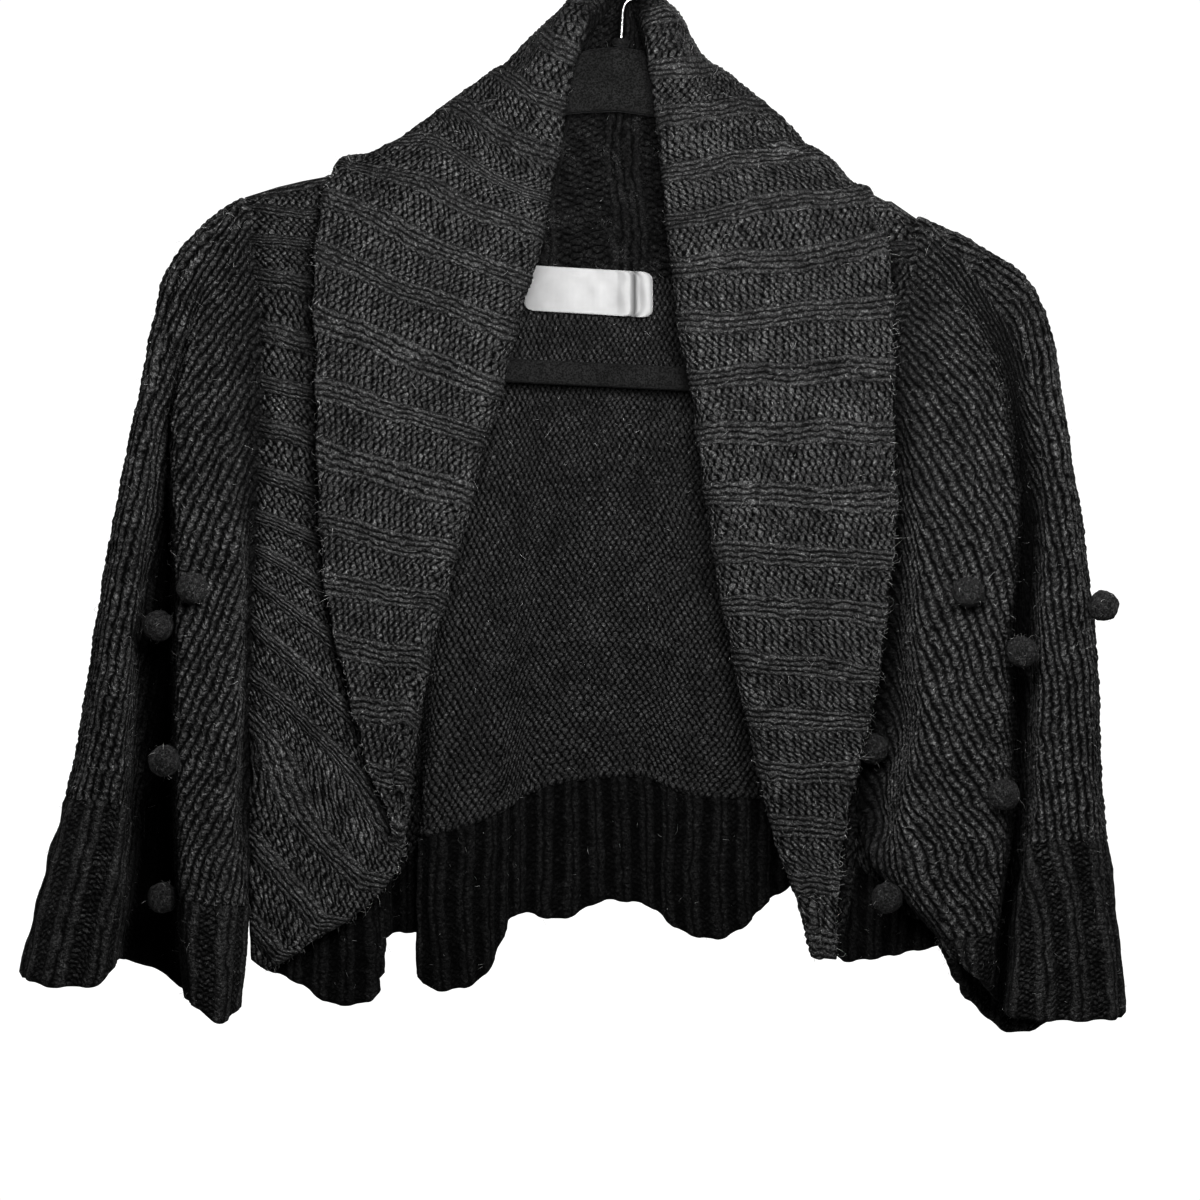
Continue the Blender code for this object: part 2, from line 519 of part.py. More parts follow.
def collar_grid(parts, counts):
    """Sections across the band: standing layer, rolled fold, turned-over layer.

    Between two rows of the table come `parts` steps, and between the seam, the three points of
    the standing layer, the two ends of the roll, the turned-over layer and the edge `counts`.
    """
    forward = np.gradient(np.array([section["fold"] for section in COLLAR], float), axis=0)
    controls = np.array([collar_controls(*pair) for pair in zip(COLLAR, forward)])
    steps = np.linalg.norm(np.diff(controls, axis=0), axis=-1).mean(axis=1)
    knots = np.concatenate(([0], np.cumsum(steps)))
    places = np.interp(spread([parts] * (len(COLLAR) - 1)), range(len(COLLAR)), knots)
    grid = []
    for points in smooth(knots, controls, places):
        along = chord(points)
        marks = along[[0, 1, 2, 3, 4, 6, 7, 8]]
        marks[0] = SEAM_GAP
        grid.append(smooth(along, points, np.interp(spread(counts), range(8), marks)))
    return np.array(grid)


# ---------------------------------------------------------------- objects
def material(name):
    """One Principled material for each finish."""
    if name in bpy.data.materials:
        return bpy.data.materials[name]
    colour, roughness, metallic = FINISH[name]
    made = bpy.data.materials.new(name)
    made.use_nodes = True
    shader = made.node_tree.nodes["Principled BSDF"]
    shader.inputs["Base Color"].default_value = (*colour, 1)
    shader.inputs["Roughness"].default_value = roughness
    shader.inputs["Metallic"].default_value = metallic
    made.diffuse_color = (*colour, 1)
    return made


def add(name, mesh, finish, collection):
    """Puts a mesh into the collection as a named object with its material."""
    made = bpy.data.objects.new(name, mesh)
    mesh.materials.append(material(finish))
    collection.objects.link(made)
    return made


def cloth(name, grid, thick, collection, finish="yarn"):
    """A wall of even thickness on a grid of points in millimetres."""
    points = seen(grid) * MM
    rows, columns = points.shape[:2]
    corners = [
        (r * columns + c, r * columns + c + 1, (r + 1) * columns + c + 1, (r + 1) * columns + c)
        for r in range(rows - 1)
        for c in range(columns - 1)
    ]
    mesh = bpy.data.meshes.new(name)
    mesh.from_pydata(points.reshape(-1, 3).tolist(), [], corners)
    mesh.shade_smooth()
    made = add(name, mesh, finish, collection)
    wall = made.modifiers.new("wall", "SOLIDIFY")
    wall.thickness = thick * MM
    wall.offset = 0
    return made


def hanger_outline():
    """Both loops of the hanger's body, as points in millimetres."""
    loops = []
    for table in (ARM_TOP, ARM_INNER):
        table = np.array(table, float)
        along = chord(table)
        half = smooth(along, table, np.linspace(0, along[-1], 22))
        loops.append(np.concatenate((half, half[:0:-1] * (-1, 1))))
    return loops


def hanger_body(collection):
    """A flat flocked body: two arms and the bar between their ends, in one plate."""
    curve = bpy.data.curves.new("hanger_body", "CURVE")
    curve.dimensions = "2D"
    curve.fill_mode = "BOTH"
    curve.extrude = (BODY_THICK / 2 - BODY_BEVEL) * MM
    curve.bevel_depth = BODY_BEVEL * MM
    curve.bevel_resolution = 1
    curve.offset = -BODY_BEVEL * MM
    for loop in hanger_outline():
        line = curve.splines.new("POLY")
        line.points.add(len(loop) - 1)
        for point, (x, z) in zip(line.points, loop):
            point.co = (x * MM, z * MM, 0, 1)
        line.use_cyclic_u = True
    made = bpy.data.objects.new("hanger_body", curve)
    curve.materials.append(material("flock"))
    made.rotation_euler = (math.pi / 2, TILT, 0)
    made.rotation_mode = "XYZ"
    collection.objects.link(made)
    return made


def hook_points():
    """The hook's wire: up the stem, round the bend and over the crook to its tip."""
    radius = (CROOK + WIRE) / 2
    middle = WIRE / 2 - radius
    points = [(0, STEM_FOOT), (0, -54), (0, -48), (0.6, -43.5), (3, -40.6), (7.5, -38.8)]
    for degrees in range(CROOK_START, CROOK_END + 1, 8):
        angle = math.radians(degrees)
        points.append((radius * math.cos(angle), middle + radius * math.sin(angle)))
    return points


def hanger_hook(collection):
    """A bent steel wire with rounded ends left plain."""
    curve = bpy.data.curves.new("hanger_hook", "CURVE")
    curve.dimensions = "3D"
    curve.bevel_depth = WIRE / 2 * MM
    curve.bevel_resolution = 2
    curve.use_fill_caps = True
    points = hook_points()
    line = curve.splines.new("POLY")
    line.points.add(len(points) - 1)
    for point, (x, z) in zip(line.points, points):
        point.co = (x * MM, 0, z * MM, 1)
    made = bpy.data.objects.new("hanger_hook", curve)
    curve.materials.append(material("chrome"))
    made.rotation_euler = (0, TILT, 0)
    collection.objects.link(made)


def hanger_ferrule(collection):
    """The turned collar that the hook's wire comes out of."""
    bpy.ops.mesh.primitive_cylinder_add(
        vertices=16,
        radius=FERRULE_WIDE / 2 * MM,
        depth=FERRULE_HIGH * MM,
    )
    made = bpy.context.object
    made.name = "hanger_ferrule"
    foot = STEM_FOOT - SKIN_GAP - FERRULE_HIGH / 2
    made.location = (foot * MM * math.sin(TILT), 0, foot * MM * math.cos(TILT))
    made.rotation_euler = (0, TILT, 0)
    made.data.materials.append(material("chrome"))
    bevel = made.modifiers.new("rim", "BEVEL")
    bevel.width = 0.7 * MM
    bevel.segments = 1
    for used in list(made.users_collection):
        used.objects.unlink(made)
    collection.objects.link(made)


def label(collection):
    """A bare satin label sewn over the back neck seam, following the cloth behind it."""
    columns, rows = 10, 2
    x = np.linspace(LABEL["left"], LABEL["right"], columns + 1)
    z = np.linspace(LABEL["top"], LABEL["bottom"], rows + 1)
    neck = np.array(NECK, float)
    panel = smooth(neck[:, 0], neck[:, 1], x)
    curl = 3.0 * np.clip((x - LABEL["right"] + 9) / 9, 0, 1) ** 2
    lift = RIB / 2 + SKIN_GAP + LABEL["thick"] / 2 + 0.8
    y = panel - lift - curl
    grid = np.stack(np.broadcast_arrays(x[None, :], y[None, :], z[:, None]), axis=-1)
    cloth("label", grid, LABEL["thick"], collection, "satin")


def ball_place(points, target, way):
    """Middle of a ball resting on the points' front (way -1) or back (way 1) at the target."""
    reach = KNIT / 2 + BALL_GAP + BALL / 2
    middle = np.array((target[0], 0.0, target[1]))
    for _ in range(5):
        place = seen(middle)
        apart = np.hypot(points[:, 0] - place[0], points[:, 2] - place[2])
        near = apart < reach
        height = np.sqrt(reach ** 2 - apart[near] ** 2)
        middle[1] = (way * points[near, 1] + height).max() * way
    return seen(middle)


def balls(collection):
    """Felted balls on both layers of each sleeve."""
    for side, layers in BALLS.items():
        rings = np.linspace(1, CUFF_RING[side] + 1, 160)
        front = sleeve_front(side, rings, np.linspace(0, 8, 120))
        back = sleeve_back(side, rings, np.linspace(0, 4, 90))
        places = [
            ball_place(seen(points).reshape(-1, 3), target, way)
            for points, targets, way in zip((front, back), layers, (-1, 1))
            for target in targets
        ]
        for number, middle in enumerate(places):
            bpy.ops.mesh.primitive_uv_sphere_add(
                segments=10,
                ring_count=5,
                radius=BALL / 2 * MM,
                location=middle * MM,
            )
            made = bpy.context.object
            made.name = f"ball_{side}_{number + 1}"
            made.data.materials.append(material("yarn"))
            made.data.shade_smooth()
            for used in list(made.users_collection):
                used.objects.unlink(made)
            collection.objects.link(made)


def main():
    for old in list(bpy.data.objects):
        bpy.data.objects.remove(old)
    collection = bpy.data.collections.new("knitted_shrug_on_hanger")
    bpy.context.scene.collection.children.link(collection)

    hanger_body(collection)
    hanger_hook(collection)
    hanger_ferrule(collection)

    cloth("back_panel", back_grid(42, 8), KNIT, collection)
    cloth("hem_band", hem_grid(60, 2), RIB, collection)
    cloth("collar_band", collar_grid(2, (1, 1, 1, 1, 3, 2, 2)), RIB, collection)
    for side in ("left", "right"):
        last = CUFF_RING[side]
        front, back = (2, 2, 3, 2, 1, 2, 2, 3), (3, 2, 2, 3)
        cloth(f"sleeve_{side}", sleeve_grid(side, np.linspace(0, last, last + 2), front, back),
              KNIT, collection)
        cloth(f"cuff_{side}", cuff_grid(side, 2, front, back), RIB, collection)
    label(collection)
    balls(collection)


main()
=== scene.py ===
"""The looks of a chunky knitted shrug on a flocked clothes hanger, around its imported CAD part.

Each piece of cloth is a wall on the same form as its CAD solid, worked out from the same short
tables, with its knit as real relief: plain knit on the sleeves, its reverse side on the back,
groups of four wales between fields of bumps on the collar band, ribs on the cuffs and the hem.
Tables are in millimetres. A table's x and z are where a point appears from EYE in the plane of
the hanger (y = 0), and its y is its depth; seen() moves it along that line of sight.
"""

import math

import bpy
import numpy as np
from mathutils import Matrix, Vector


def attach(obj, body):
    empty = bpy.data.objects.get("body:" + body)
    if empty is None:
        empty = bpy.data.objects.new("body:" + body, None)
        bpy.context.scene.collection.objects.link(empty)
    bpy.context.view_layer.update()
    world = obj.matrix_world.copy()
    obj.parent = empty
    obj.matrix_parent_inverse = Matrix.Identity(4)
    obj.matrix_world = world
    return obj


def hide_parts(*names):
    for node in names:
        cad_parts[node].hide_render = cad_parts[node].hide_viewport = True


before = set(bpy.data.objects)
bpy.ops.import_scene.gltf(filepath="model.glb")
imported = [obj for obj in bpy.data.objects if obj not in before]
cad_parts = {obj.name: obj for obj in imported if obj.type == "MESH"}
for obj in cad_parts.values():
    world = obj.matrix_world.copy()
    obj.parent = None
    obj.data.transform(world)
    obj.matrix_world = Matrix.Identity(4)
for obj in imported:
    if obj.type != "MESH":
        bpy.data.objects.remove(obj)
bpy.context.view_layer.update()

MM = 0.001
EYE = np.array((-13.6, -1500.0, -343.0))
TILT = math.radians(2.8)  # the hanger hangs with its right end low

KNIT = 4.0  # thickness of the plain knit
RIB = 4.4  # thickness of the ribbed bands
SEAM_GAP = 0.6  # kept between the edges of two pieces
SKIN_GAP = 0.4  # kept between a piece and what it lies on


# ---------------------------------------------------------------- hanger
ARM_TOP = (  # x, z of the upper edge of one arm, from the neck to where it turns down
    (0, -64.6), (7, -65), (25, -70), (50, -87), (75, -109), (103, -129.5), (125, -138.5),
    (149, -147), (172, -156), (196, -168.5), (206, -178),
)
WIRE = 3.2
CROOK = 38.0  # inside diameter of the hook
CROOK_START, CROOK_END = -48, 196  # degrees, from where the bend joins to the tip
STEM_FOOT = -60.0


# ---------------------------------------------------------------- sleeves
SIGN = {"left": -1, "right": 1}  # which way x goes outwards
# One row for each ring round the sleeve, from the arch over the hanger down to the cuff seam:
# where it leaves the front seam (x, y, z), the outer fold (x, y, z) and the back seam (x, y, z).
RINGS = {
    "left": (
        (-190.6, -8, -144, -191.6, 0, -141.5, -190.6, 8, -144),
        (-188, -11, -160, -203, 0, -149, -190.4, 11, -160),
        (-186, -12, -179, -218.5, 0, -162.5, -190.4, 13, -182),
        (-184, -13, -202, -230.5, 0, -180, -190.4, 15, -204),
        (-183, -13, -234, -238, 1, -211, -190.4, 18, -235),
        (-184, -12, -268, -245, 2, -247, -190.4, 21, -268),
        (-186, -11, -308, -254, 4, -291, -190.4, 25, -308),
        (-188, -10, -348, -264, 6, -349, -190.4, 28, -348),
        (-189, -9, -388, -270, 8, -389, -190.4, 30, -388),
        (-190, -8, -429, -277, 9, -428, -190.4, 30, -429),
        (-191, -8, -464, -280, 10, -439, -190.8, 20, -464),
        (-192, -8, -497, -281, 10, -444, -192, -6.6, -497),
        (-197, -8, -546, -304, 10, -532, -197, -6.6, -546),
    ),
    "right": (
        (144, -8, -152.5, 145, 0, -150, 144, 8, -152.5),
        (145.8, -11, -167, 157, 0, -157, 145.8, 11, -167),
        (141, -12, -187, 175.5, 0, -167, 146.5, 13, -187),
        (137, -13, -210, 192.5, 0, -176.5, 147.5, 15, -210),
        (134, -13, -237, 204.5, 1, -190, 148.5, 18, -237),
        (134, -12, -268, 213, 2, -215.5, 149.5, 21, -268),
        (134, -9, -300, 219, 3, -255, 150.5, 25, -300),
        (133, -4, -333, 226, 4, -298, 151.5, 28, -333),
        (130, 1, -366, 231, 5, -338, 152.5, 30, -366),
        (124, 4, -396, 235, 6, -383, 154, 32, -396),
        (119, 4, -424, 236, 7, -419, 155.5, 32, -426),
        (117, 2, -446, 237, 8, -439, 156.5, 30, -454),
        (121, -2, -469, 238, 8, -451, 157, 24, -479),
        (141, -8, -493, 239, 8, -459, 157.5, 12, -499),
        (158, -12, -513, 240, 8, -464, 158, -10.6, -513),
        (164, -12, -519, 249, 8, -546, 164, -10.6, -522),
    ),
}
# One row for each level of the long folds: z, then from the front seam outwards the inner edge
# and depth of the big fold, the inner edge and depth of the valley beside it, the inner edge
# and depth of the outer strip, and the depth of the back layer.
FOLDS = {
    "left": (
        (-192, -192, -12, -226, -12, -235, -11, 13),
        (-242, -195, -17, -226, -10, -236, -13, 19),
        (-278, -196, -22, -227, -6, -238, -14, 24),
        (-318, -192, -28, -226, 0, -243, -16, 29),
        (-363, -190, -32, -226, 8, -248, -17, 34),
        (-414, -190, -35, -226, 16, -251, -18, 39),
        (-469, -191, -37, -224, 20, -253, -18, 42),
        (-519, -194, -37, -220, 20, -258, -18, 42),
        (-555, -196, -35, -217, 20, -260, -18, 40),
    ),
    "right": (
        (-192, 145, -13, 180, -12, 185, -11, 13),
        (-242, 140, -18, 206, -12, 211, -11, 19),
        (-278, 140, -23, 196, -10, 211, -14, 24),
        (-318, 146, -28, 194, -6, 210, -16, 28),
        (-363, 144, -32, 190, 0, 208, -18, 32),
        (-404, 146, -35, 191, 8, 206, -19, 35),
        (-444, 137, -36, 191, 10, 204, -20, 38),
        (-479, 136, -36, 187, 10, 200, -20, 38),
        (-514, 160, -34, 182, 10, 195, -20, 36),
        (-545, 166, -30, 181, 8, 194, -20, 34),
    ),
}
FOLD_SOFT = (14.0, 5.0, 5.0)  # how wide each of the three edges turns
UNDERARM_ROUND = 14.0
OUTER_ROUND, BACK_ROUND = 9.0, 18.0
CUFF_RING = {"left": 11, "right": 14}  # the ring at the cuff seam
UNDERARM_RING = {"left": 9, "right": 11}  # where the front seam ends and the underarm begins
# x, z of the cuffs' lower edges, front layer then back layer, from the underarm outwards.
CUFF_EDGE = {
    "left": (
        ((-196, -545), (-200, -553), (-206, -557), (-214, -551), (-222, -541), (-234, -532),
         (-244, -527), (-259, -524), (-262, -533), (-267, -538), (-291, -538), (-306, -532)),
        ((-196, -545), (-204, -551), (-216, -541), (-240, -525), (-265, -523), (-306, -532)),
    ),
    "right": (
        ((163, -519), (170, -527), (180, -537), (188, -546), (194, -553), (211, -555),
         (227, -555), (247, -554), (251, -547)),
        ((163, -522), (171, -541), (181, -553), (193, -561), (203, -560), (213, -555),
         (251, -547)),
    ),
}


# ---------------------------------------------------------------- back and hem
# One row for each stretch of the hem band, from the left end to the right: where its seam to
# the back lies (x, y, z) and where its free edge lies (x, y, z). The two pleats are deep.
HEM = (
    (-187, 2, -490, -183, 3, -528),
    (-165, 1, -491, -165, 2, -536),
    (-145, 0, -487, -146, 1, -547),
    (-132, -1, -484, -130, 0, -546),
    (-127, 6, -481, -126, 7, -537),
    (-125, 32, -477, -124, 32, -515),
    (-121, 40, -475, -119, 41, -511),
    (-106, 40, -468, -106, 41, -510),
    (-102, 32, -465, -102, 32, -517),
    (-102, 6, -462, -103, 5, -534),
    (-98, -1, -461, -97, -3, -540),
    (-83, -2, -457, -81, -4, -538),
    (-68, 1, -451, -68, -2, -527),
    (-61, 8, -447, -62, 6, -507),
    (-54, 12, -442, -54, 14, -500),
    (-34, 10, -435, -34, 8, -504),
    (-14, 13, -432, -11, 16, -494),
    (6, 13, -431, 9, 16, -496),
    (27, 8, -439, 28, 6, -510),
    (43, 6, -442, 44, 4, -514),
    (57, 10, -442, 58, 10, -508),
    (72, 18, -442, 71, 22, -494),
    (87, 26, -445, 87, 32, -486),
    (101, 26, -455, 100, 26, -514),
    (112, 17, -469, 110, 14, -525),
    (128, 14, -487, 128, 12, -523),
    (144, 11, -503, 143, 10, -520),
    (154, 9, -509, 154, 8, -518),
)
SIDE_TURN = 36.0  # how far in from the sleeve seams the back bends to meet them
# The back neck seam, from the left shoulder to the right (x, y, z).
NECK = (
    (-189, 8.5, -146.5), (-165, 9.5, -161.5), (-140, 10.5, -171), (-115, 11.5, -176.8),
    (-90, 12, -179.6), (-65, 12.5, -180.5), (-38, 13, -180.5), (-12, 13, -180.5),
    (15, 13, -181.5), (42, 12.5, -182.5), (66, 12, -183.5), (88, 11.5, -184.6),
    (108, 10.5, -183), (126, 9.5, -173.5), (142, 8.5, -156),
)
# Depth of the hanging back: z, in the middle, at the left seam, at the right seam.
BACK_DEPTH = (
    (-144, 9, 8, 8), (-160, 11, 11, 10.5), (-182, 13, 13, 12.6), (-204, 13, 15, 14.6),
    (-235, 13, 18, 17.8), (-268, 13, 21, 21), (-308, 14, 25, 25.7), (-348, 15, 28, 29),
    (-388, 15, 30, 31.4), (-429, 15, 30, 32), (-464, 14, 20, 28), (-490, 14, 2, 17),
    (-512, 14, 2, 9),
)


# ---------------------------------------------------------------- collar band
# One row for each section across the band, from the bottom of the left front over the neck to
# the bottom of the right front: the seam, the fold and the free edge (x, y, z each) and, where
# it isn't ROLL, the radius that the fold is rolled to. Where the band goes over the hanger, a
# section adds one point of the turned-over layer, and three of the standing layer whose third
# number is their height above the upper edge of the hanger.
ROLL = 8
COLLAR = (
    dict(seam=(-188, -8, -525), fold=(-184, -9, -528), edge=(-181, -10, -530), roll=0),
    dict(seam=(-188.5, -8, -502), fold=(-165, -13, -513), edge=(-158, -14, -515), roll=0),
    dict(seam=(-188.5, -8, -469), fold=(-138, -14, -490), edge=(-128, -16, -494), roll=0),
    dict(seam=(-188.5, -8, -439), fold=(-120, -15, -466), edge=(-113, -18, -469), roll=0),
    dict(seam=(-189, -9, -411), fold=(-111, -17, -458), edge=(-116, -21.5, -460), roll=4),
    dict(seam=(-188.6, -9, -383), fold=(-108, -18, -431), edge=(-128, -24, -433), roll=6),
    dict(seam=(-187.6, -10, -343), fold=(-102, -19, -388), edge=(-140, -25, -391), roll=7),
    dict(seam=(-185.6, -11, -303), fold=(-87, -20, -328), edge=(-153, -26, -329)),
    dict(seam=(-183.6, -12, -260), fold=(-73, -20, -274), edge=(-156, -26, -275)),
    dict(seam=(-182.6, -13, -215), fold=(-60, -20, -227), edge=(-157, -26, -218)),
    dict(seam=(-185.2, -12, -177), fold=(-52, -21, -194), edge=(-158, -25, -182)),
    dict(seam=(-187.6, -11, -158), fold=(-44, -21, -170),
         fall=(-100, -27, -161), edge=(-155, -20, -148)),
    dict(seam=(-189, -7.5, -143), stand=((-165, -9, -4), (-140, -10, -8), (-105, -12, -22)),
         fold=(-40, -20, -149), fall=(-100, -23, -136), edge=(-148, -8, -127)),
    dict(seam=(-189.4, 0, -141), stand=((-172, -0.5, 6.5), (-152, -5, 4.5), (-125, -9, -2)),
         fold=(-38.5, -20, -141), fall=(-110, -12, -119), edge=(-142, 3, -121.5)),
    dict(seam=(-189, 7.5, -144), stand=((-166, 7, 3), (-148, 0, 6), (-122, -8, 0)),
         fold=(-37, -20, -133), fall=(-103, -5, -108.5), edge=(-133, 14, -129)),
    dict(seam=(-165, 9.5, -160), stand=((-142, 8.5, 0), (-122, 0, 6), (-96, -8.5, 0)),
         fold=(-34, -19, -118), fall=(-90, 1, -96.5), edge=(-111, 24, -134)),
    dict(seam=(-140, 10.5, -170), stand=((-116, 8.5, 0), (-97, 0, 6), (-73, -8.5, 0)),
         fold=(-31.5, -17, -100), fall=(-73, 4, -83.5), edge=(-88, 32, -135)),
    dict(seam=(-115, 11.5, -176), stand=((-90, 8.5, 0), (-74, 0, 6), (-54, -8.5, 0)),
         fold=(-28.5, -18, -84), fall=(-58, 7, -73), edge=(-68, 38, -132)),
    dict(seam=(-90, 12, -179), stand=((-67, 9, 0), (-53, 1, 6), (-38, -8, 2)),
         fold=(-26, -20, -68), fall=(-45, 10, -59.5), edge=(-52, 42, -127)),
    dict(seam=(-65, 12.5, -180), stand=((-46, 11, -10), (-36, 7, 3), (-28, 1, 8)),
         fold=(-20.5, -7, -50), fall=(-32, 17, -47.5), edge=(-36, 46, -121)),
    dict(seam=(-38, 13, -180), stand=((-30, 12.5, -45), (-22, 12, -10), (-17, 11, 12)),
         fold=(-13.5, 9, -35), fall=(-19, 28, -39), edge=(-20, 48, -115)),
    dict(seam=(-12, 13, -180), stand=((-9, 12.5, -50), (-7, 12.5, -15), (-5, 12.5, 8)),
         fold=(-3, 14, -28), fall=(-3, 32, -38), edge=(-4, 49, -112)),
    dict(seam=(15, 13, -181), stand=((12, 12.5, -48), (10, 12, -14), (8, 11, 10)),
         fold=(6, 9, -35), fall=(12, 28, -39), edge=(12, 48, -115)),
    dict(seam=(42, 12.5, -182), stand=((30, 11, -14), (23, 7, 3), (17, 1, 9)),
         fold=(8, -7, -50), fall=(25, 17, -49.5), edge=(29, 46, -122)),
    dict(seam=(66, 12, -183), stand=((46, 9, 0), (34, 1, 6), (21, -8, 2)),
         fold=(10, -20, -67), fall=(36, 10, -69), edge=(46, 42, -131)),
    dict(seam=(88, 11.5, -184), stand=((66, 8.5, 0), (52, 0, 6), (34, -8.5, 0)),
         fold=(12, -18, -83), fall=(51, 7, -81), edge=(64, 38, -137)),
    dict(seam=(108, 10.5, -182), stand=((86, 8.5, 0), (69, 0, 6), (46, -8.5, 0)),
         fold=(14, -17, -99), fall=(67, 4, -94), edge=(84, 32, -142)),
    dict(seam=(126, 9.5, -172), stand=((104, 8.5, 0), (86, 0, 6), (60, -8.5, 0)),
         fold=(16, -19, -119), fall=(84, 1, -111), edge=(103, 24, -145)),
    dict(seam=(141, 7.5, -153.5), stand=((124, 6.5, 3), (110, 0, 5.5), (84, -9, -1)),
         fold=(18, -20, -136), fall=(99, -5, -125.5), edge=(117, 12, -140)),
    dict(seam=(142, 0, -150), stand=((130, -1, 5), (112, -6, 3), (88, -10, -12)),
         fold=(19, -20, -148), fall=(96, -13, -135), edge=(121.5, 1, -136.5)),
    dict(seam=(142, -7.5, -153), stand=((126, -10.5, -1), (100, -12, -18), (60, -15, -52)),
         fold=(20, -20, -159), fall=(88, -21, -149), edge=(125, -9, -144)),
    dict(seam=(144, -11, -167), fold=(22, -21, -177),
         fall=(82, -27, -171), edge=(131, -20, -163)),
    dict(seam=(140, -12, -189), fold=(24, -21, -196), edge=(134, -25, -186)),
    dict(seam=(136, -13, -215), fold=(28, -20, -217), edge=(135, -26, -212)),
    dict(seam=(133.4, -13, -252), fold=(34, -20, -252), edge=(134, -26, -250)),
    dict(seam=(133.4, -9, -298), fold=(40, -20, -298), edge=(136, -27, -299)),
    dict(seam=(132, -3, -338), fold=(46, -20, -338), edge=(132, -27, -338)),
    dict(seam=(127, 2, -373), fold=(53, -20, -373), edge=(128, -27, -373)),
    dict(seam=(120, 4, -409), fold=(61, -20, -409), edge=(121, -27, -408)),
    dict(seam=(115, 2, -442), fold=(68, -19, -440), edge=(114, -26, -438), roll=7),
    dict(seam=(114, -2, -469), fold=(76, -19, -469), edge=(108, -26, -469), roll=7),
    dict(seam=(111, -6, -497), fold=(85, -18, -494), edge=(106, -25, -494), roll=6),
    dict(seam=(105, -9, -522), fold=(93, -17, -523), edge=(105, -24, -524), roll=6),
)


# ---------------------------------------------------------------- small pieces
LABEL = dict(left=-52.0, right=13.0, top=-176.0, bottom=-199.0, thick=0.8)
BALL = 15.5  # diameter of a felted ball
BALL_GAP = 1.0
# x, z of the balls' middles as they appear from the front, on the front and back layers.
BALLS = {
    "left": (
        ((-219, -337), (-236, -356), (-233, -424), (-234, -493)),
        ((-214, -300), (-240, -392), (-208, -470)),
    ),
    "right": (
        ((172, -339), (199, -369), (240, -346), (124, -418), (190, -441), (131, -493)),
        ((176, -290), (205, -395), (172, -468)),
    ),
}


# ---------------------------------------------------------------- curves and surfaces
def smooth(knots, values, at):
    """Values at the places `at` on a smooth curve through the knots that never overshoots."""
    knots = np.asarray(knots, float)
    values = np.asarray(values, float)
    at = np.clip(np.asarray(at, float), knots[0], knots[-1])
    flat = values.reshape(len(knots), -1)
    gaps = np.diff(knots)[:, None]
    rise = np.diff(flat, axis=0) / gaps
    tangent = np.zeros_like(flat)
    tangent[0], tangent[-1] = rise[0], rise[-1]
    both = rise[:-1] * rise[1:]
    total = rise[:-1] + rise[1:]
    tangent[1:-1] = np.where(both > 0, 2 * both / np.where(total == 0, 1, total), 0)
    i = np.clip(np.searchsorted(knots, at, side="right") - 1, 0, len(knots) - 2)
    gap = gaps[i]
    t = (at - knots[i])[..., None] / gap
    result = (
        flat[i] * (1 + 2 * t) * (1 - t) ** 2
        + tangent[i] * gap * t * (1 - t) ** 2
        + flat[i + 1] * t * t * (3 - 2 * t)
        + tangent[i + 1] * gap * t * t * (t - 1)
    )
    return result.reshape(at.shape + values.shape[1:])


def ease(t):
    """0 to 1 with flat ends."""
    t = np.clip(t, 0, 1)
    return t * t * (3 - 2 * t)


def quarter(t):
    """Height of a quarter circle at the distance t from its edge."""
    return np.sqrt(1 - (1 - np.clip(t, 0, 1)) ** 2)


def seen(points):
    """Moves each point along its line of sight from EYE to its own depth."""
    points = np.array(points, float)
    reach = 1 - points[..., 1:2] / EYE[1]
    points[..., 0::2] = EYE[0::2] + (points[..., 0::2] - EYE[0::2]) * reach
    return points


def unit(vectors):
    """Vectors scaled to a length of 1."""
    return vectors / np.maximum(np.linalg.norm(vectors, axis=-1, keepdims=True), 1e-9)


def totals(steps):
    """Running totals of the steps along their last axis, from 0."""
    start = np.zeros(steps.shape[:-1] + (1,))
    return np.concatenate((start, np.cumsum(steps, axis=-1)), axis=-1)


def chord(points):
    """Distance along each row of points, from its first one."""
    return totals(np.linalg.norm(np.diff(points, axis=-2), axis=-1))


def on_line(points, along, places):
    """Points of a polyline at the given places, where `along` are its own points' places."""
    return np.stack([np.interp(places, along, points[:, k]) for k in range(3)], axis=1)


def from_ends(count):
    """Steps to the nearer end, for each of `count` + 1 places."""
    return np.minimum(np.arange(count + 1), count - np.arange(count + 1))


def between(anchors, at):
    """Straight-line values between the columns of `anchors` at the places `at`."""
    i = np.clip(np.floor(at).astype(int), 0, anchors.shape[1] - 2)
    t = at - i
    return anchors[:, i] * (1 - t) + anchors[:, i + 1] * t


# ---------------------------------------------------------------- sleeve form
def ring_points(side, rings):
    """Front seam, outer fold and back seam at the rings, and how far each is under the arm."""
    row = smooth(range(len(RINGS[side])), RINGS[side], rings)
    under = ease((np.asarray(rings) - UNDERARM_RING[side]) / 2)[:, None]
    return row[:, 0:3], row[:, 3:6], row[:, 6:9], under


def folds_at(side, z):
    """The row of FOLDS at each height."""
    folds = np.array(FOLDS[side], float)
    return smooth(-folds[:, 0], folds, -z)


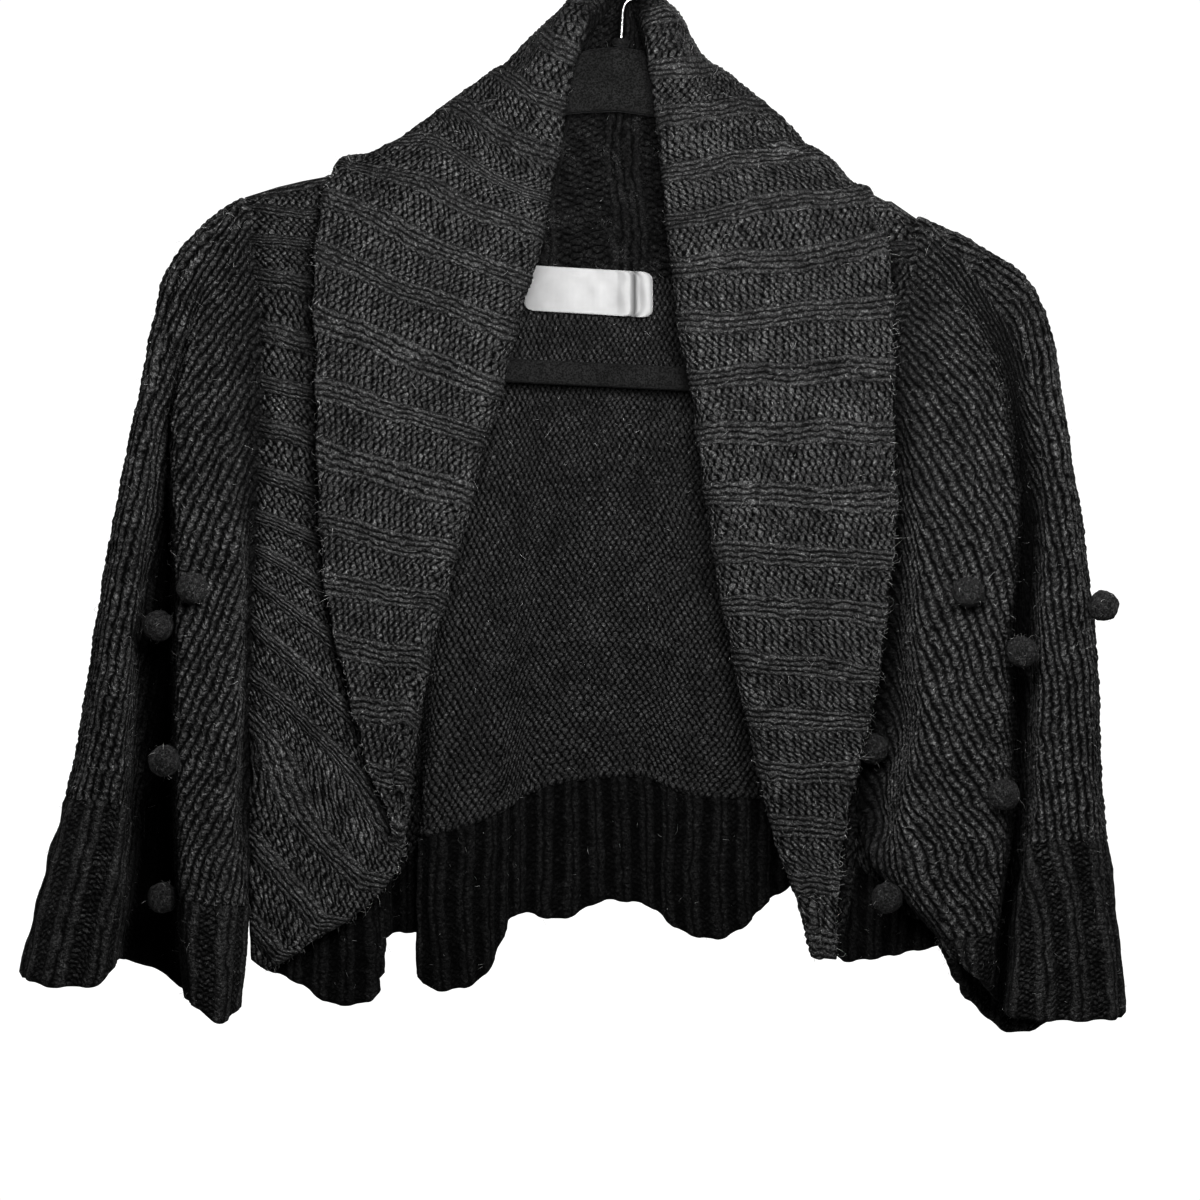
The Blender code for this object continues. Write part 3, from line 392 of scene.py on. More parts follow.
def sleeve_front(side, rings, at):
    """Front layer: rows for the rings, columns from the front seam (0) to the outer fold (8)."""
    sign = SIGN[side]
    seam, outer, _, under = ring_points(side, rings)
    heights = seam[:, 2], (seam[:, 2] + outer[:, 2]) / 2, outer[:, 2]
    near, middle, far = (folds_at(side, z) for z in heights)
    start, end = sign * seam[:, 0], sign * outer[:, 0]
    length = end - start
    turns = [sign * x + way * wide / 2
             for x, wide in zip((near[:, 1], middle[:, 3], far[:, 5]), FOLD_SOFT)
             for way in (-1, 1)]
    edges = np.stack((start, *turns, end - np.minimum(OUTER_ROUND, 0.6 * length), end), axis=1)
    for k in range(1, 8):
        edges[:, k] = np.maximum(edges[:, k], edges[:, k - 1] + 0.06 * length)
    for k in range(7, 0, -1):
        edges[:, k] = np.minimum(edges[:, k], edges[:, k + 1] - 0.06 * length)
    # At the shoulder, where the folds haven't begun, the edges lie at plain shares of the width.
    plain = start[:, None] + length[:, None] * np.array((0, .12, .25, .4, .46, .52, .6, .75, 1))
    folded = ease((np.asarray(rings) - 1.5) / 3)[:, None]
    edges = plain * (1 - folded) + edges * folded
    x = between(edges, at)
    flat = ease(at - 1)[None, :]
    turned = quarter((x - start[:, None]) / UNDERARM_ROUND)
    rise = flat * (1 - under) + turned * under
    y = seam[:, 1:2] + (near[:, 2:3] - seam[:, 1:2]) * rise
    y = y + (middle[:, 4:5] - near[:, 2:3]) * ease(at - 3)
    y = y + (far[:, 6:7] - middle[:, 4:5]) * ease(at - 5)
    y = outer[:, 1:2] + (y - outer[:, 1:2]) * quarter(8 - at)
    x_round = end[:, None] - (end - edges[:, 7])[:, None] * (8 - at)
    x = np.where(at > 7, x_round, x)
    slant = ease((at - 2.5) / 4) * folded + (x - start[:, None]) / length[:, None] * (1 - folded)
    z = seam[:, 2:3] + (outer[:, 2:3] - seam[:, 2:3]) * slant
    return np.stack((sign * x, y, z), axis=-1)


def sleeve_back(side, rings, at):
    """Back layer: rows for the rings, columns from the outer fold (0) to the back seam (4)."""
    sign = SIGN[side]
    _, outer, seam, under = ring_points(side, rings)
    level = folds_at(side, (seam[:, 2] + outer[:, 2]) / 2)[:, 7:8]
    start, end = sign * outer[:, 0], sign * seam[:, 0]
    length = start - end
    shares = np.array((0, .16, .5, .86, 1))
    x = start[:, None] - length[:, None] * np.interp(at, range(5), shares)
    reach = np.minimum(BACK_ROUND, 0.6 * length)[:, None]
    inner = quarter((x - end[:, None]) / UNDERARM_ROUND)
    flat = ease((x - end[:, None]) / (0.6 * length[:, None]))
    y = seam[:, 1:2] + (level - seam[:, 1:2]) * (flat * (1 - under) + inner * under)
    y = outer[:, 1:2] + (y - outer[:, 1:2]) * quarter((start[:, None] - x) / reach)
    z = outer[:, 2:3] + (seam[:, 2:3] - outer[:, 2:3]) * ease((at - 0.5) / 3)
    return np.stack((sign * x, y, z), axis=-1)


# ---------------------------------------------------------------- back, hem and collar form
def hem_lines(count):
    """The hem band's seam and free edge, each as `count` equal steps."""
    table = np.array(HEM, float)
    knots = chord(table[:, :3])
    dense = smooth(knots, table, np.linspace(0, knots[-1], 600))
    along = chord(dense[:, :3])
    places = np.interp(np.linspace(0, along[-1], count + 1), along, np.arange(600))
    table = smooth(range(600), dense, places)
    return table[:, :3], table[:, 3:]


def back_grid(columns, rows):
    """The back panel: its top follows the neck seam and its bottom the hem's seam and pleats."""
    bottom, _ = hem_lines(columns)
    neck = np.array(NECK, float)
    dense = smooth(chord(neck), neck, np.linspace(0, chord(neck)[-1], 400))
    along = chord(dense)
    top = on_line(dense, along, np.linspace(0, along[-1], columns + 1))
    share = np.linspace(0, 1, rows + 1)[:, None]
    x = top[:, 0] + (bottom[:, 0] - top[:, 0]) * share
    x += SEAM_GAP * np.linspace(1, -1, columns + 1)
    z = top[:, 2] + (bottom[:, 2] - top[:, 2]) * share
    depth = np.array(BACK_DEPTH, float)
    level = smooth(-depth[:, 0], depth, -z)
    pleat = share ** 3
    near_top = (1 - share) ** 6
    y = (level[..., 1] * (1 - near_top) + top[:, 1] * near_top) * (1 - pleat) + bottom[:, 1] * pleat
    for edge, column in ((0, 2), (-1, 3)):
        inward = np.abs(x - x[:, edge][:, None]) / SIDE_TURN
        y = level[..., column] + (y - level[..., column]) * ease(inward)
    return np.stack((x, y, z), axis=-1)


def tilted(points):
    """x and z of the points (x, z) of the hanger, turned as it hangs."""
    x, z = points[:, 0], points[:, 1]
    return x * math.cos(TILT) + z * math.sin(TILT), z * math.cos(TILT) - x * math.sin(TILT)


def arm_top(x):
    """Height of the upper edge of the tilted hanger at x."""
    table = np.array(ARM_TOP, float)
    both = np.concatenate((table[:0:-1] * (-1, 1), table))
    return float(np.interp(x, *tilted(both)))


def collar_controls(section, forward):
    """The nine points that one section across the band, which runs forward, goes through."""
    seam, fold, edge = (np.array(section[k], float) for k in ("seam", "fold", "edge"))
    roll = section.get("roll", ROLL)
    stand = [seam + (fold - seam) * share for share in (0.25, 0.5, 0.75)]
    if "stand" in section:
        stand = [np.array((x, y, arm_top(x) + above)) for x, y, above in section["stand"]]
    bulge = np.array((0, -0.5 * roll, 0))
    fall = np.array(section.get("fall", (fold + edge) / 2 + bulge), float)
    if roll == 0:
        return [seam, *stand, stand[2] * .4 + fold * .6, fold, fold * .7 + edge * .3,
                fold * .4 + edge * .6, edge]
    out = unit(fold - (stand[2] + fall) / 2)
    fold = fold - out * RIB / 2
    apart = unit(np.cross(out, forward))
    base = fold - out * roll
    return [seam, *stand, base - apart * roll, fold, base + apart * roll, fall, edge]


def hook_points():
    """The hook's wire: up the stem, round the bend and over the crook to its tip."""
    radius = (CROOK + WIRE) / 2
    middle = WIRE / 2 - radius
    points = [(0, STEM_FOOT), (0, -54), (0, -48), (0.6, -43.5), (3, -40.6), (7.5, -38.8)]
    for degrees in range(CROOK_START, CROOK_END + 1, 8):
        angle = math.radians(degrees)
        points.append((radius * math.cos(angle), middle + radius * math.sin(angle)))
    return points


def ball_place(points, target, way):
    """Middle of a ball resting on the points' front (way -1) or back (way 1) at the target."""
    reach = KNIT / 2 + BALL_GAP + BALL / 2
    middle = np.array((target[0], 0.0, target[1]))
    for _ in range(5):
        place = seen(middle)
        apart = np.hypot(points[:, 0] - place[0], points[:, 2] - place[2])
        near = apart < reach
        height = np.sqrt(reach ** 2 - apart[near] ** 2)
        middle[1] = (way * points[near, 1] + height).max() * way
    return seen(middle)


# ---------------------------------------------------------------- knit
# Half a rib's knitted width, the ribs' period, the pitch of their wales, and the pitch and the
# height of the bumps between the ribs.
CUFF_RIB = (5.0, 16.0, 5.0, 5.0, 0.6)
HEM_RIB = (4.6, 13.6, 4.6, 4.6, 0.4)
BAND_RIB = (6.0, 29.0, 3.0, 7.0, 0.82)
# The fold between the two rolls of a sleeve, where shade is also painted: its middle and half its
# width, as marks, and how much further back it lies than in the solid.
HOLLOW = {"left": (4.5, 0.62), "right": (4.45, 0.85)}
HOLLOW_DEPTH = {"sleeve": 9.0, "cuff": 6.0}
SEAM_ALLOWANCE = 1.8  # how far the sleeves' long edges go on into their seams
# Shadow painted on the sleeves beside their seam to the collar's standing part:
SEAM_PAINTED_SHADOW = {"left": (14.0, 0.97), "right": (17.0, 0.95)}  # its reach and strength
SLEEVE_DROP = {"left": 0.4, "right": 2.4}  # how far the sleeves' tops lie below the solids'
SHOULDERS = (11.5, 30.5)  # the collar's sections where its seam goes over the shoulders
NECK_MIDDLE = 21.5  # the section where the collar's two halves meet
# The standing part inside the back of the neck, where shade is painted: its middle and half its
# width in rib periods, and the course of the fold.
NECK_TURNS = (15.6, 3.8, 44.0)
# Places round a sleeve: marks 0 to 8 from the front seam to the outer fold, then the back layer.
FRONT_MARKS, BACK_MARKS = np.linspace(0, 8, 241), np.linspace(0, 4, 121)[1:]
MARKS = np.concatenate((FRONT_MARKS, 8 + BACK_MARKS))
WALE, COURSE = 4.3, 3.3  # pitch of the plain knit across and along its wales
BAND_COURSE = 3.5  # pitch of the collar band's courses
RIB_COURSE = 2.9  # pitch of the cuffs' and the hem's courses
FOLD_COURSE = 4.0  # pitch of the courses that follow the outer fold
BACK_WALE, BACK_COURSE = 3.6, 7.1  # pitch of the back's bumps, and of two of their rows
BACK_SPAN = 465, 350  # the width and the height that the back's bumps are counted over
KNIT_RELIEF, PURL_RELIEF, BAND_RELIEF = 1.7, 1.3, 1.5
# z of the middles of the band's rib groups as seen on the turned-over layer, from the bottom.
LEFT_RIBS = (-404.5, -377.3, -348.1, -322.9, -294.2, -262.5, -236.3, -204.5)
RIGHT_RIBS = (-169.3, -199.5, -230.7, -261, -291.2, -318.9, -344.6, -373.3, -398.5, -423.7)
# How far a rib leans from its section: section, on the standing and on the turned-over layer.
RIB_LEAN = (
    (0, 0.5, 0.2), (4, 0.42, 0.22), (7, 0.25, 0.25), (10, 0.1, 0.28), (14, 0, 0.1),
    (18, 0, 0), (30, 0, 0), (34, 0, 0.0), (37, 0, 0.1), (42, 0, 0.16),
)
# The angle below the horizontal at which the wales leave the front seam: z, degrees.
WALE_ANGLE = {
    "left": ((-140, 50), (-200, 54), (-260, 57), (-340, 60), (-450, 64), (-560, 72)),
    "right": ((-150, 40), (-185, 44), (-225, 49), (-270, 54), (-330, 58), (-430, 64), (-560, 74)),
}
# x of the line where those wales meet the ones that follow the outer fold: z, x.
WALE_TURN = {
    "left": ((-140, 196), (-160, 206), (-192, 228), (-242, 236), (-278, 238), (-318, 243),
             (-363, 247), (-414, 250), (-469, 252), (-560, 259)),
    "right": ((-150, 150), (-165, 160), (-173, 169), (-207, 191.4), (-239, 205), (-278, 208),
              (-318, 207), (-363, 205), (-404, 203), (-444, 201), (-479, 197), (-560, 190)),
}


def waves(points, seed, size):
    """Smooth noise of about unit size, whose lumps are `size` millimetres across."""
    count = 14
    rng = np.random.default_rng(seed)
    ways = rng.normal(size=(count, 3))
    ways = unit(ways) * (rng.uniform(0.6, 1.7, count) * 2 * math.pi / size)[:, None]
    turns = rng.uniform(0, 2 * math.pi, count)
    flat = points.reshape(-1, 3)
    total = sum(np.sin(flat @ way + turn) for way, turn in zip(ways, turns))
    return (total / math.sqrt(count / 2)).reshape(points.shape[:-1])


# The stitches below work alike on arrays, for the relief, and on Shade, for its fine detail.
def scatter(a, b, seed):
    """A number from 0 to 1 for each pair of whole numbers, such as a wale and a course."""
    mixed = np.sin(a * 1.9898 + b * 4.233 + seed * 2.47) * 437.585
    return mixed - np.floor(mixed)


def bounded(x):
    return np.minimum(np.maximum(x, 0.0), 1.0)


def knitted(across, along, seed):
    """Height, 0 to 1, of plain knit: `across` counts its wales and `along` its courses."""
    middle = across - np.floor(across) - 0.5
    cord = np.power(np.maximum(np.cos(middle * math.pi), 0.0), 1.1)
    wale = np.floor(across)
    row = along + scatter(wale, wale * 0.0, seed) * 0.3 + np.abs(middle) * 1.2
    stitch = np.power(np.abs(np.sin(row * math.pi)), 0.6)
    high = scatter(wale, np.floor(row), seed + 1) * 0.35 + 0.65
    return cord * (stitch * 0.55 + 0.45) * high


def purled(across, along, seed, wide=0.41, long=0.34, slant=0.0):
    """Height, 0 to 1, of the reverse side: staggered rows of oval bumps."""
    best = across * 0.0
    for step, lean in ((0.0, slant), (0.5, -slant)):
        x, y = across + step, along + step
        dx, dy = x - np.floor(x) - 0.5, y - np.floor(y) - 0.5
        dx, dy = dx / wide, (dy + dx * lean) / long
        size = scatter(np.floor(x), np.floor(y), seed + step) * 0.5 + 0.65
        dome = np.power(bounded(1.0 - dx * dx - dy * dy), 0.5)
        best = np.maximum(best, size * dome)
    return best


def ribbed(turn, along, half_knit, period, wale, pitch, low, seed):
    """Height of ribbing: `turn` counts the periods, with the knitted group at each half."""
    away = (turn - np.floor(turn) - 0.5) * period
    share = bounded((half_knit + 0.3 - np.abs(away)) / 0.8)
    share = share * share * (3.0 - share * 2.0)
    cords = knitted((away + half_knit) / wale, along, seed) * 0.8 + 0.2
    bumps = purled((turn + 0.5) * (period / pitch), along, seed, 0.36, 0.41, 0.4) * low
    return share * cords + (1.0 - share) * bumps


# ---------------------------------------------------------------- meshes
def softened(grid, reach):
    """Rounds a grid's sharp folds along its rows, its end columns kept."""
    size = int(3 * reach)
    kernel = np.exp(-0.5 * (np.arange(-size, size + 1) / reach) ** 2)
    kernel /= kernel.sum()
    padded = np.concatenate((
        2 * grid[:, :1] - grid[:, size:0:-1], grid, 2 * grid[:, -1:] - grid[:, -2:-size - 2:-1],
    ), axis=1)
    return sum(weight * padded[:, k:k + grid.shape[1]] for k, weight in enumerate(kernel))


def normals(grid):
    """Unit normals of a grid of points."""
    return unit(np.cross(np.gradient(grid, axis=1), np.gradient(grid, axis=0)))


EDGE_ROUND = 2.5  # how far in from an open edge most walls are rounded


def rounded(distance, radius):
    """Share of the wall's thickness at a distance from its edge."""
    return 0.3 + 0.7 * quarter(distance / radius)


def zipper(outer, inner, step):
    """Triangles between a dense edge and a coarse one that takes every `step`-th of its places."""
    made = []
    for k in range(len(inner) - 1):
        dense = outer[k * step:(k + 1) * step + 1]
        half = len(dense) // 2
        made += [(dense[j], dense[j + 1], inner[k]) for j in range(half)]
        made.append((dense[half], inner[k + 1], inner[k]))
        made += [(dense[j], dense[j + 1], inner[k + 1]) for j in range(half, len(dense) - 1)]
    return made


def quads(index):
    """The faces of a grid of vertex numbers."""
    corners = (index[:-1, :-1], index[:-1, 1:], index[1:, 1:], index[1:, :-1])
    return np.stack(corners, axis=-1).reshape(-1, 4)


def wall(name, grid, outer, inner, places, steps, way, other=None):
    """A closed wall: its outer face on every point of the grid, its inner face on fewer.

    `places` are the points' stitch coordinates. Where `other`, a pair of a share and of other
    coordinates, has a share over a half, those are used. Material slot 1 is the inner face's.
    """
    rows, columns = grid.shape[:2]
    out = normals(grid) * way
    front = grid + out * outer[..., None]
    back = (grid - out * inner[..., None])[::steps[0], ::steps[1]]
    upper = outer_points(grid)
    lower = outer_points(back) + upper.size
    faces = quads(upper).tolist() + quads(lower)[:, ::-1].tolist()
    for a, b, step in (
        (upper[0, ::-1], lower[0, ::-1], steps[1]),
        (upper[-1], lower[-1], steps[1]),
        (upper[:, 0], lower[:, 0], steps[0]),
        (upper[::-1, -1], lower[::-1, -1], steps[0]),
    ):
        faces += zipper(a.tolist(), b.tolist(), step)
    if way < 0:
        faces = [face[::-1] for face in faces]
    points = np.concatenate((front.reshape(-1, 3), back.reshape(-1, 3))) * MM

    def both(values):
        cut = values[::steps[0], ::steps[1]]
        width = values.shape[2:]
        return np.concatenate((values.reshape(-1, *width), cut.reshape(-1, *width)))

    made = build(name, points, faces)
    mesh = made.data
    corner = np.empty(len(mesh.loops), int)
    mesh.loops.foreach_get("vertex_index", corner)
    chosen = both(places)[corner]
    if other:
        sizes = np.empty(len(mesh.polygons), int)
        mesh.polygons.foreach_get("loop_total", sizes)
        face = np.repeat(np.arange(len(sizes)), sizes)
        mean = np.bincount(face, both(other[0])[corner]) / sizes
        chosen = np.where(mean[face, None] > 0.5, both(other[1])[corner], chosen)
    mesh.uv_layers.new(name="knit").uv.foreach_set("vector", chosen.astype(np.float32).ravel())
    slots = np.zeros(len(mesh.polygons), int)
    first = (rows - 1) * (columns - 1)
    slots[first:first + (back.shape[0] - 1) * (back.shape[1] - 1)] = 1
    mesh.polygons.foreach_set("material_index", slots)
    return made


def outer_points(grid):
    """Numbers of the points on the outer face of the grid's wall."""
    return np.arange(grid.shape[0] * grid.shape[1]).reshape(grid.shape[:2])


def build(name, points, faces):
    """A smooth-shaded mesh object."""
    mesh = bpy.data.meshes.new(name)
    mesh.from_pydata(points.tolist(), [], faces)
    mesh.shade_smooth()
    made = bpy.data.objects.new(name, mesh)
    bpy.context.scene.collection.objects.link(made)
    return made


def pushed(grid, reach, amount, at_end):
    """A grid with one edge column moved outwards by `amount`, fading over `reach` columns."""
    grid = grid.copy()
    order = grid[:, ::-1] if at_end else grid
    way = unit(order[:, 0] - order[:, 3])
    amount = np.broadcast_to(amount, len(grid))
    for k in range(reach):
        order[:, k] += way * (amount * (1 - k / reach))[:, None]
    return grid


def surface_area(grid):
    """Area of a grid of points in square metres."""
    a, b, c, d = grid[:-1, :-1], grid[:-1, 1:], grid[1:, 1:], grid[1:, :-1]
    crosses = (np.cross(b - a, c - a), np.cross(c - a, d - a))
    return sum(np.linalg.norm(cross, axis=-1).sum() for cross in crosses) / 2 * MM * MM


def level_rows(make, last, count):
    """`count` + 1 places from 0 to last whose rings are the same mean distance apart."""
    tries = np.linspace(0, last, 300)
    along = totals(np.linalg.norm(np.diff(make(tries), axis=0), axis=-1).mean(axis=1))
    return np.interp(np.linspace(0, along[-1], count + 1), along, tries)


def level_columns(grid, marks, count, front=0.5):
    """Each row at equal steps along it, with its marks and distances from its first point.

    `front` is the share of the steps before mark 8, where the front layer ends.
    """
    along = chord(grid)
    points = np.empty((len(grid), count + 1, 3))
    share = np.linspace(0, 1, count + 1)
    places = np.array([
        np.interp(share, (0, front, 1), (0, np.interp(8, marks, line), line[-1])) for line in along
    ])
    where = np.empty(places.shape)
    for r, line in enumerate(grid):
        points[r] = on_line(line, along[r], places[r])
        where[r] = np.interp(places[r], along[r], marks)
    return points, where, places


# ---------------------------------------------------------------- the sleeves and the cuffs
def all_round(side, rings):
    """Rings round the sleeve, a point for each of the marks."""
    parts = (sleeve_front(side, rings, FRONT_MARKS), sleeve_back(side, rings, BACK_MARKS))
    return np.concatenate(parts, axis=1)


def wale_places(side, grid, where, along, down):
    """Stitch places of the sleeve's two fields of wales, and how far a point is past their border.

    One field's wales leave the front seam at an angle and the other's follow the outer fold.
    """
    x, z = SIGN[side] * grid[:, :1, 0] + along, grid[..., 2]
    angle = np.array(WALE_ANGLE[side], float)
    levels = np.linspace(angle[-1, 0], angle[0, 0], 400)
    lean = 1 / np.tan(np.radians(np.interp(-levels, -angle[:, 0], angle[:, 1])))
    drift = totals((lean[1:] + lean[:-1]) / 2 * np.diff(levels))
    mean = math.radians(angle[:, 1].mean())
    across = (x + np.interp(z, levels, drift)) * math.sin(mean)
    course = x * math.cos(mean) - z * math.sin(mean)
    fold = np.array([np.interp(8, *row) for row in zip(where, along)])[:, None]
    warp = 0.5 * waves(grid, 3, 40)
    from_seam = np.stack(((across + warp) / WALE, (course + warp) / COURSE), axis=-1)
    by_fold = np.stack(((along - fold + warp) / WALE, down / FOLD_COURSE), axis=-1)
    turn = np.array(WALE_TURN[side], float)
    beyond = SIGN[side] * grid[..., 0] - np.interp(-z, -turn[:, 0], turn[:, 1])
    return from_seam, by_fold, beyond


def sleeve_piece(side, rows, columns):
    """The sleeve's wall with its two fields of wales."""
    def make(rings):
        return seen(all_round(side, rings))

    rings = level_rows(make, CUFF_RING[side], rows)
    grid, where, along = level_columns(make(rings), MARKS, columns, 2 / 3)
    seam = SEAM_ALLOWANCE * (1 - np.exp(-np.arange(rows + 1) / 8))
    grid = pushed(pushed(softened(grid, 3.0), 6, seam, False), 6, seam, True)
    grid[..., 2] -= SLEEVE_DROP[side] * np.exp(-np.arange(rows + 1) / 4)[:, None]
    down = chord(grid.swapaxes(0, 1)).T
    deep = hollow_of(side, where, rings)
    grid[..., 1] += HOLLOW_DEPTH["sleeve"] * deep
    from_seam, by_fold, beyond = wale_places(side, grid, where, along, down)
    share = np.where(where >= 8, 1, ease(0.5 + beyond / 6))
    outer, inner = (knitted(place[..., 0], place[..., 1], 5) for place in (by_fold, from_seam))
    relief = share * outer + (1 - share) * inner
    groove = np.exp(-(beyond / 3.0) ** 2) * (where < 8)
    relief = relief * (1 - 0.5 * groove)

    edge = rounded(np.minimum(along, along[:, -1:] - along), EDGE_ROUND)
    edge *= rounded(down[-1] - down + 0.6, 1.4) * rounded(down, 3.0)
    swell = 0.5 * waves(grid, 8, 28) + 0.25 * waves(grid, 9, 11)
    outer_face = edge * (KNIT / 2 - 0.5 + KNIT_RELIEF * relief + 0.5 * swell - 1.0 * groove)
    # A dip where the sleeve is sewn to the collar's standing part.
    outer_face -= 2.0 * np.exp(-(along / 5) ** 2) * (1 - np.exp(-down / 20))
    inner_face = edge * (KNIT / 2 - 0.3)
    made = wall(f"sleeve_{side}_knit", grid, outer_face, inner_face, from_seam, (3, 3),
                -SIGN[side], (share, by_fold))
    # A shadow is painted beside the seam to the collar's standing part, and shade into the fold.
    reach, most = SEAM_PAINTED_SHADOW[side]
    beside = most * np.exp(-(along / reach) ** 2) * (1 - np.exp(-down / 70))
    keep_hollow(made, np.maximum(deep, beside))
    return made, grid


def hollow_of(side, where, rings):
    """How far each point lies in the fold between the sleeve's two rolls, 0 to 1."""
    middle, half = HOLLOW[side]
    across = np.clip(1.5 - np.abs(where - middle) / half, 0, 1)
    return across * ease((np.asarray(rings, float)[:, None] - 2.5) / 3)


def keep_hollow(piece, deep, inner=None):
    """Keeps the shade painted onto the outer face, and onto the inner one, for the yarn's tone."""
    values = np.zeros(len(piece.data.vertices))
    values[:deep.size] = deep.ravel()
    if inner is not None:
        values[deep.size:] = inner.ravel()
    layer = piece.data.attributes.new("painted_shade", "FLOAT", "POINT")
    layer.data.foreach_set("value", values.astype(np.float32))


def cuff_piece(side, rows, columns):
    """The cuff's wall with its ribs."""
    sign = SIGN[side]
    top, low = (all_round(side, [CUFF_RING[side] + step])[0] for step in (0, 1))
    front = len(FRONT_MARKS)
    for part, edge in zip((slice(0, front), slice(front, None)), CUFF_EDGE[side]):
        edge = np.array(edge, float)
        low[part, 2] = smooth(sign * edge[:, 0], edge[:, 1], sign * low[part, 0])
    share = np.linspace(0, 1, rows + 1)[:, None, None]
    grid, where, along = level_columns(seen(top + (low - top) * share), MARKS, columns)
    grid = softened(grid, 2.5)
    turn = np.linspace(0, 1, columns + 1) * round(along.mean(axis=0)[-1] / CUFF_RIB[1])
    down = chord(grid.swapaxes(0, 1)).T
    turn = turn + 0.04 * waves(grid, 13, 50)
    place = np.stack((turn, down / RIB_COURSE), axis=-1)
    wave = ribbed(turn, place[..., 1], *CUFF_RIB, 11)
    hill = hill_of(turn)
    deep = hollow_of(side, where, np.full(rows + 1, 9))
    grid[..., 1] += HOLLOW_DEPTH["cuff"] * deep
    ends = np.exp(-(down[-1] - down) / 4)
    grid[..., 2] -= ends * (0.9 * hill - 0.4)
    grid[..., 2] += 1.2 * np.exp(-down / 2)
    edge = rounded(down[-1] - down, EDGE_ROUND) * rounded(down + 0.6, 2.6)
    rise = 1 - 0.75 * np.exp(-down / 9)
    outer_face = edge * (RIB / 2 - 1.3 + 0.9 * wave + 1.7 * hill * rise + 0.3 * waves(grid, 12, 22))
    outer_face += 0.5 * np.exp(-((down - 2.5) / 2.2) ** 2)
    inner_face = edge * (RIB / 2 - 0.2 + 0.6 * (1 - hill))
    made = wall(f"cuff_{side}_ribs", grid, outer_face, inner_face, place, (2, 3), -sign)
    # Shade is painted into the cuff's fold.
    keep_hollow(made, deep)
    return made, grid


def hill_of(turn):
    """A rib's broad hill, flat-topped, for counted periods."""
    wave = -np.cos(2 * math.pi * turn)
    return 0.5 + 0.5 * wave / np.sqrt(0.35 + 0.65 * wave ** 2)


# ---------------------------------------------------------------- the back and the hem
def back_piece(rows, columns):
    """The back panel: plain knit behind, its reverse side in front."""
    # The columns are closer together where the back bends at its sides.
    share = np.interp(np.linspace(0, 1, columns + 1), (0, 0.13, 0.87, 1), (0, 0.22, 0.74, 1))
    pick = np.round(share * 5 * columns).astype(int)
    grid = seen(back_grid(5 * columns, rows)[:, pick])
    rise = np.exp(-np.arange(rows + 1) / 1.5)
    grid[..., 2] += 2.0 * rise[:, None] - 1.2 * rise[::-1, None]
    place = np.stack(np.broadcast_arrays(
        BACK_SPAN[0] / BACK_WALE * pick[None, :] / (5 * columns),
        np.linspace(0, BACK_SPAN[1] / BACK_COURSE, rows + 1)[:, None],
    ), axis=-1) + 0.18 * waves(grid, 21, 45)[..., None]
    front = purled(place[..., 0], place[..., 1], 22, slant=-0.12)
    swell = 0.5 * waves(grid, 24, 30)
    up = np.arange(rows, -1, -1)[:, None] * BACK_SPAN[1] / rows
    edge = rounded(np.minimum(up[0] - up, up), EDGE_ROUND)
    front_face = edge * (KNIT / 2 - 0.5 + PURL_RELIEF * front + 0.4 * swell)
    front_face = front_face + 1.9 * np.exp(-((up - 2) / 2.8) ** 2)
    rear_face = edge * (KNIT / 2 - 0.4 - 0.4 * swell)
    return wall("back_knit", grid, front_face, rear_face, place, (4, 2), -1), grid


def hem_piece(rows, columns):
    """The hem band in its pleats, ribbed on both faces."""
    top, low = hem_lines(columns)
    share = np.linspace(0, 1, rows + 1)[:, None, None]
    grid = softened(seen(top + (low - top) * share), 2.5)
    grid[..., 2] += 1.6 * np.exp(-np.arange(rows + 1) / 1.5)[:, None]
    grid = pushed(pushed(grid, 5, 2.5, False), 5, 2.5, True)
    turn = chord(grid).mean(axis=0) / HEM_RIB[1] + np.zeros((rows + 1, 1))
    down = share[..., 0] * np.linalg.norm(low - top, axis=1)
    turn = turn + 0.04 * waves(grid, 33, 60)
    place = np.stack((turn, down / RIB_COURSE + 0 * turn), axis=-1)
    wave = ribbed(turn, place[..., 1], *HEM_RIB, 31)
    hill = hill_of(turn)
    grid[..., 2] -= np.exp(-(down[-1] - down) / 4) * (0.9 * hill - 0.4)
    edge = rounded(down[-1] - down, EDGE_ROUND) * rounded(down, 2.0)
    front = edge * (RIB / 2 - 1.3 + 0.8 * wave + 2.2 * hill + 0.3 * waves(grid, 32, 22))
    rear = edge * (RIB / 2 - 1.1 + 1.8 * (1 - hill))
    made = wall("hem_ribs", grid, front, rear, place, (2, 1), -1)
    return made, grid


# ---------------------------------------------------------------- the collar band
def collar_form(rows, columns):
    """Sections across the whole band, their places in the table, marks and distances."""
    forward = np.gradient(np.array([section["fold"] for section in COLLAR], float), axis=0)
    controls = np.array([collar_controls(*pair) for pair in zip(COLLAR, forward)])
    knots = totals(np.linalg.norm(np.diff(controls, axis=0), axis=-1).mean(axis=1))
    places = np.linspace(0, knots[-1], rows + 1)
    across = np.linspace(0, 1, 160)
    grid = np.empty((rows + 1, columns + 1, 3))
    fold = np.empty(rows + 1)
    far = np.empty((rows + 1, columns + 1))
    for r, points in enumerate(smooth(knots, controls, places)):
        along = chord(points)
        line = seen(smooth(along, points, across * along[-1]))
        length = chord(line)
        fold[r] = np.interp(along[5] / along[-1], across, length)
        far[r] = np.interp(np.linspace(0, 1, columns + 1), (0, 0.36, 1), (0, fold[r], length[-1]))
        grid[r] = on_line(line, length, far[r])
    return grid, np.interp(places, knots, range(len(knots))), fold[:, None], far


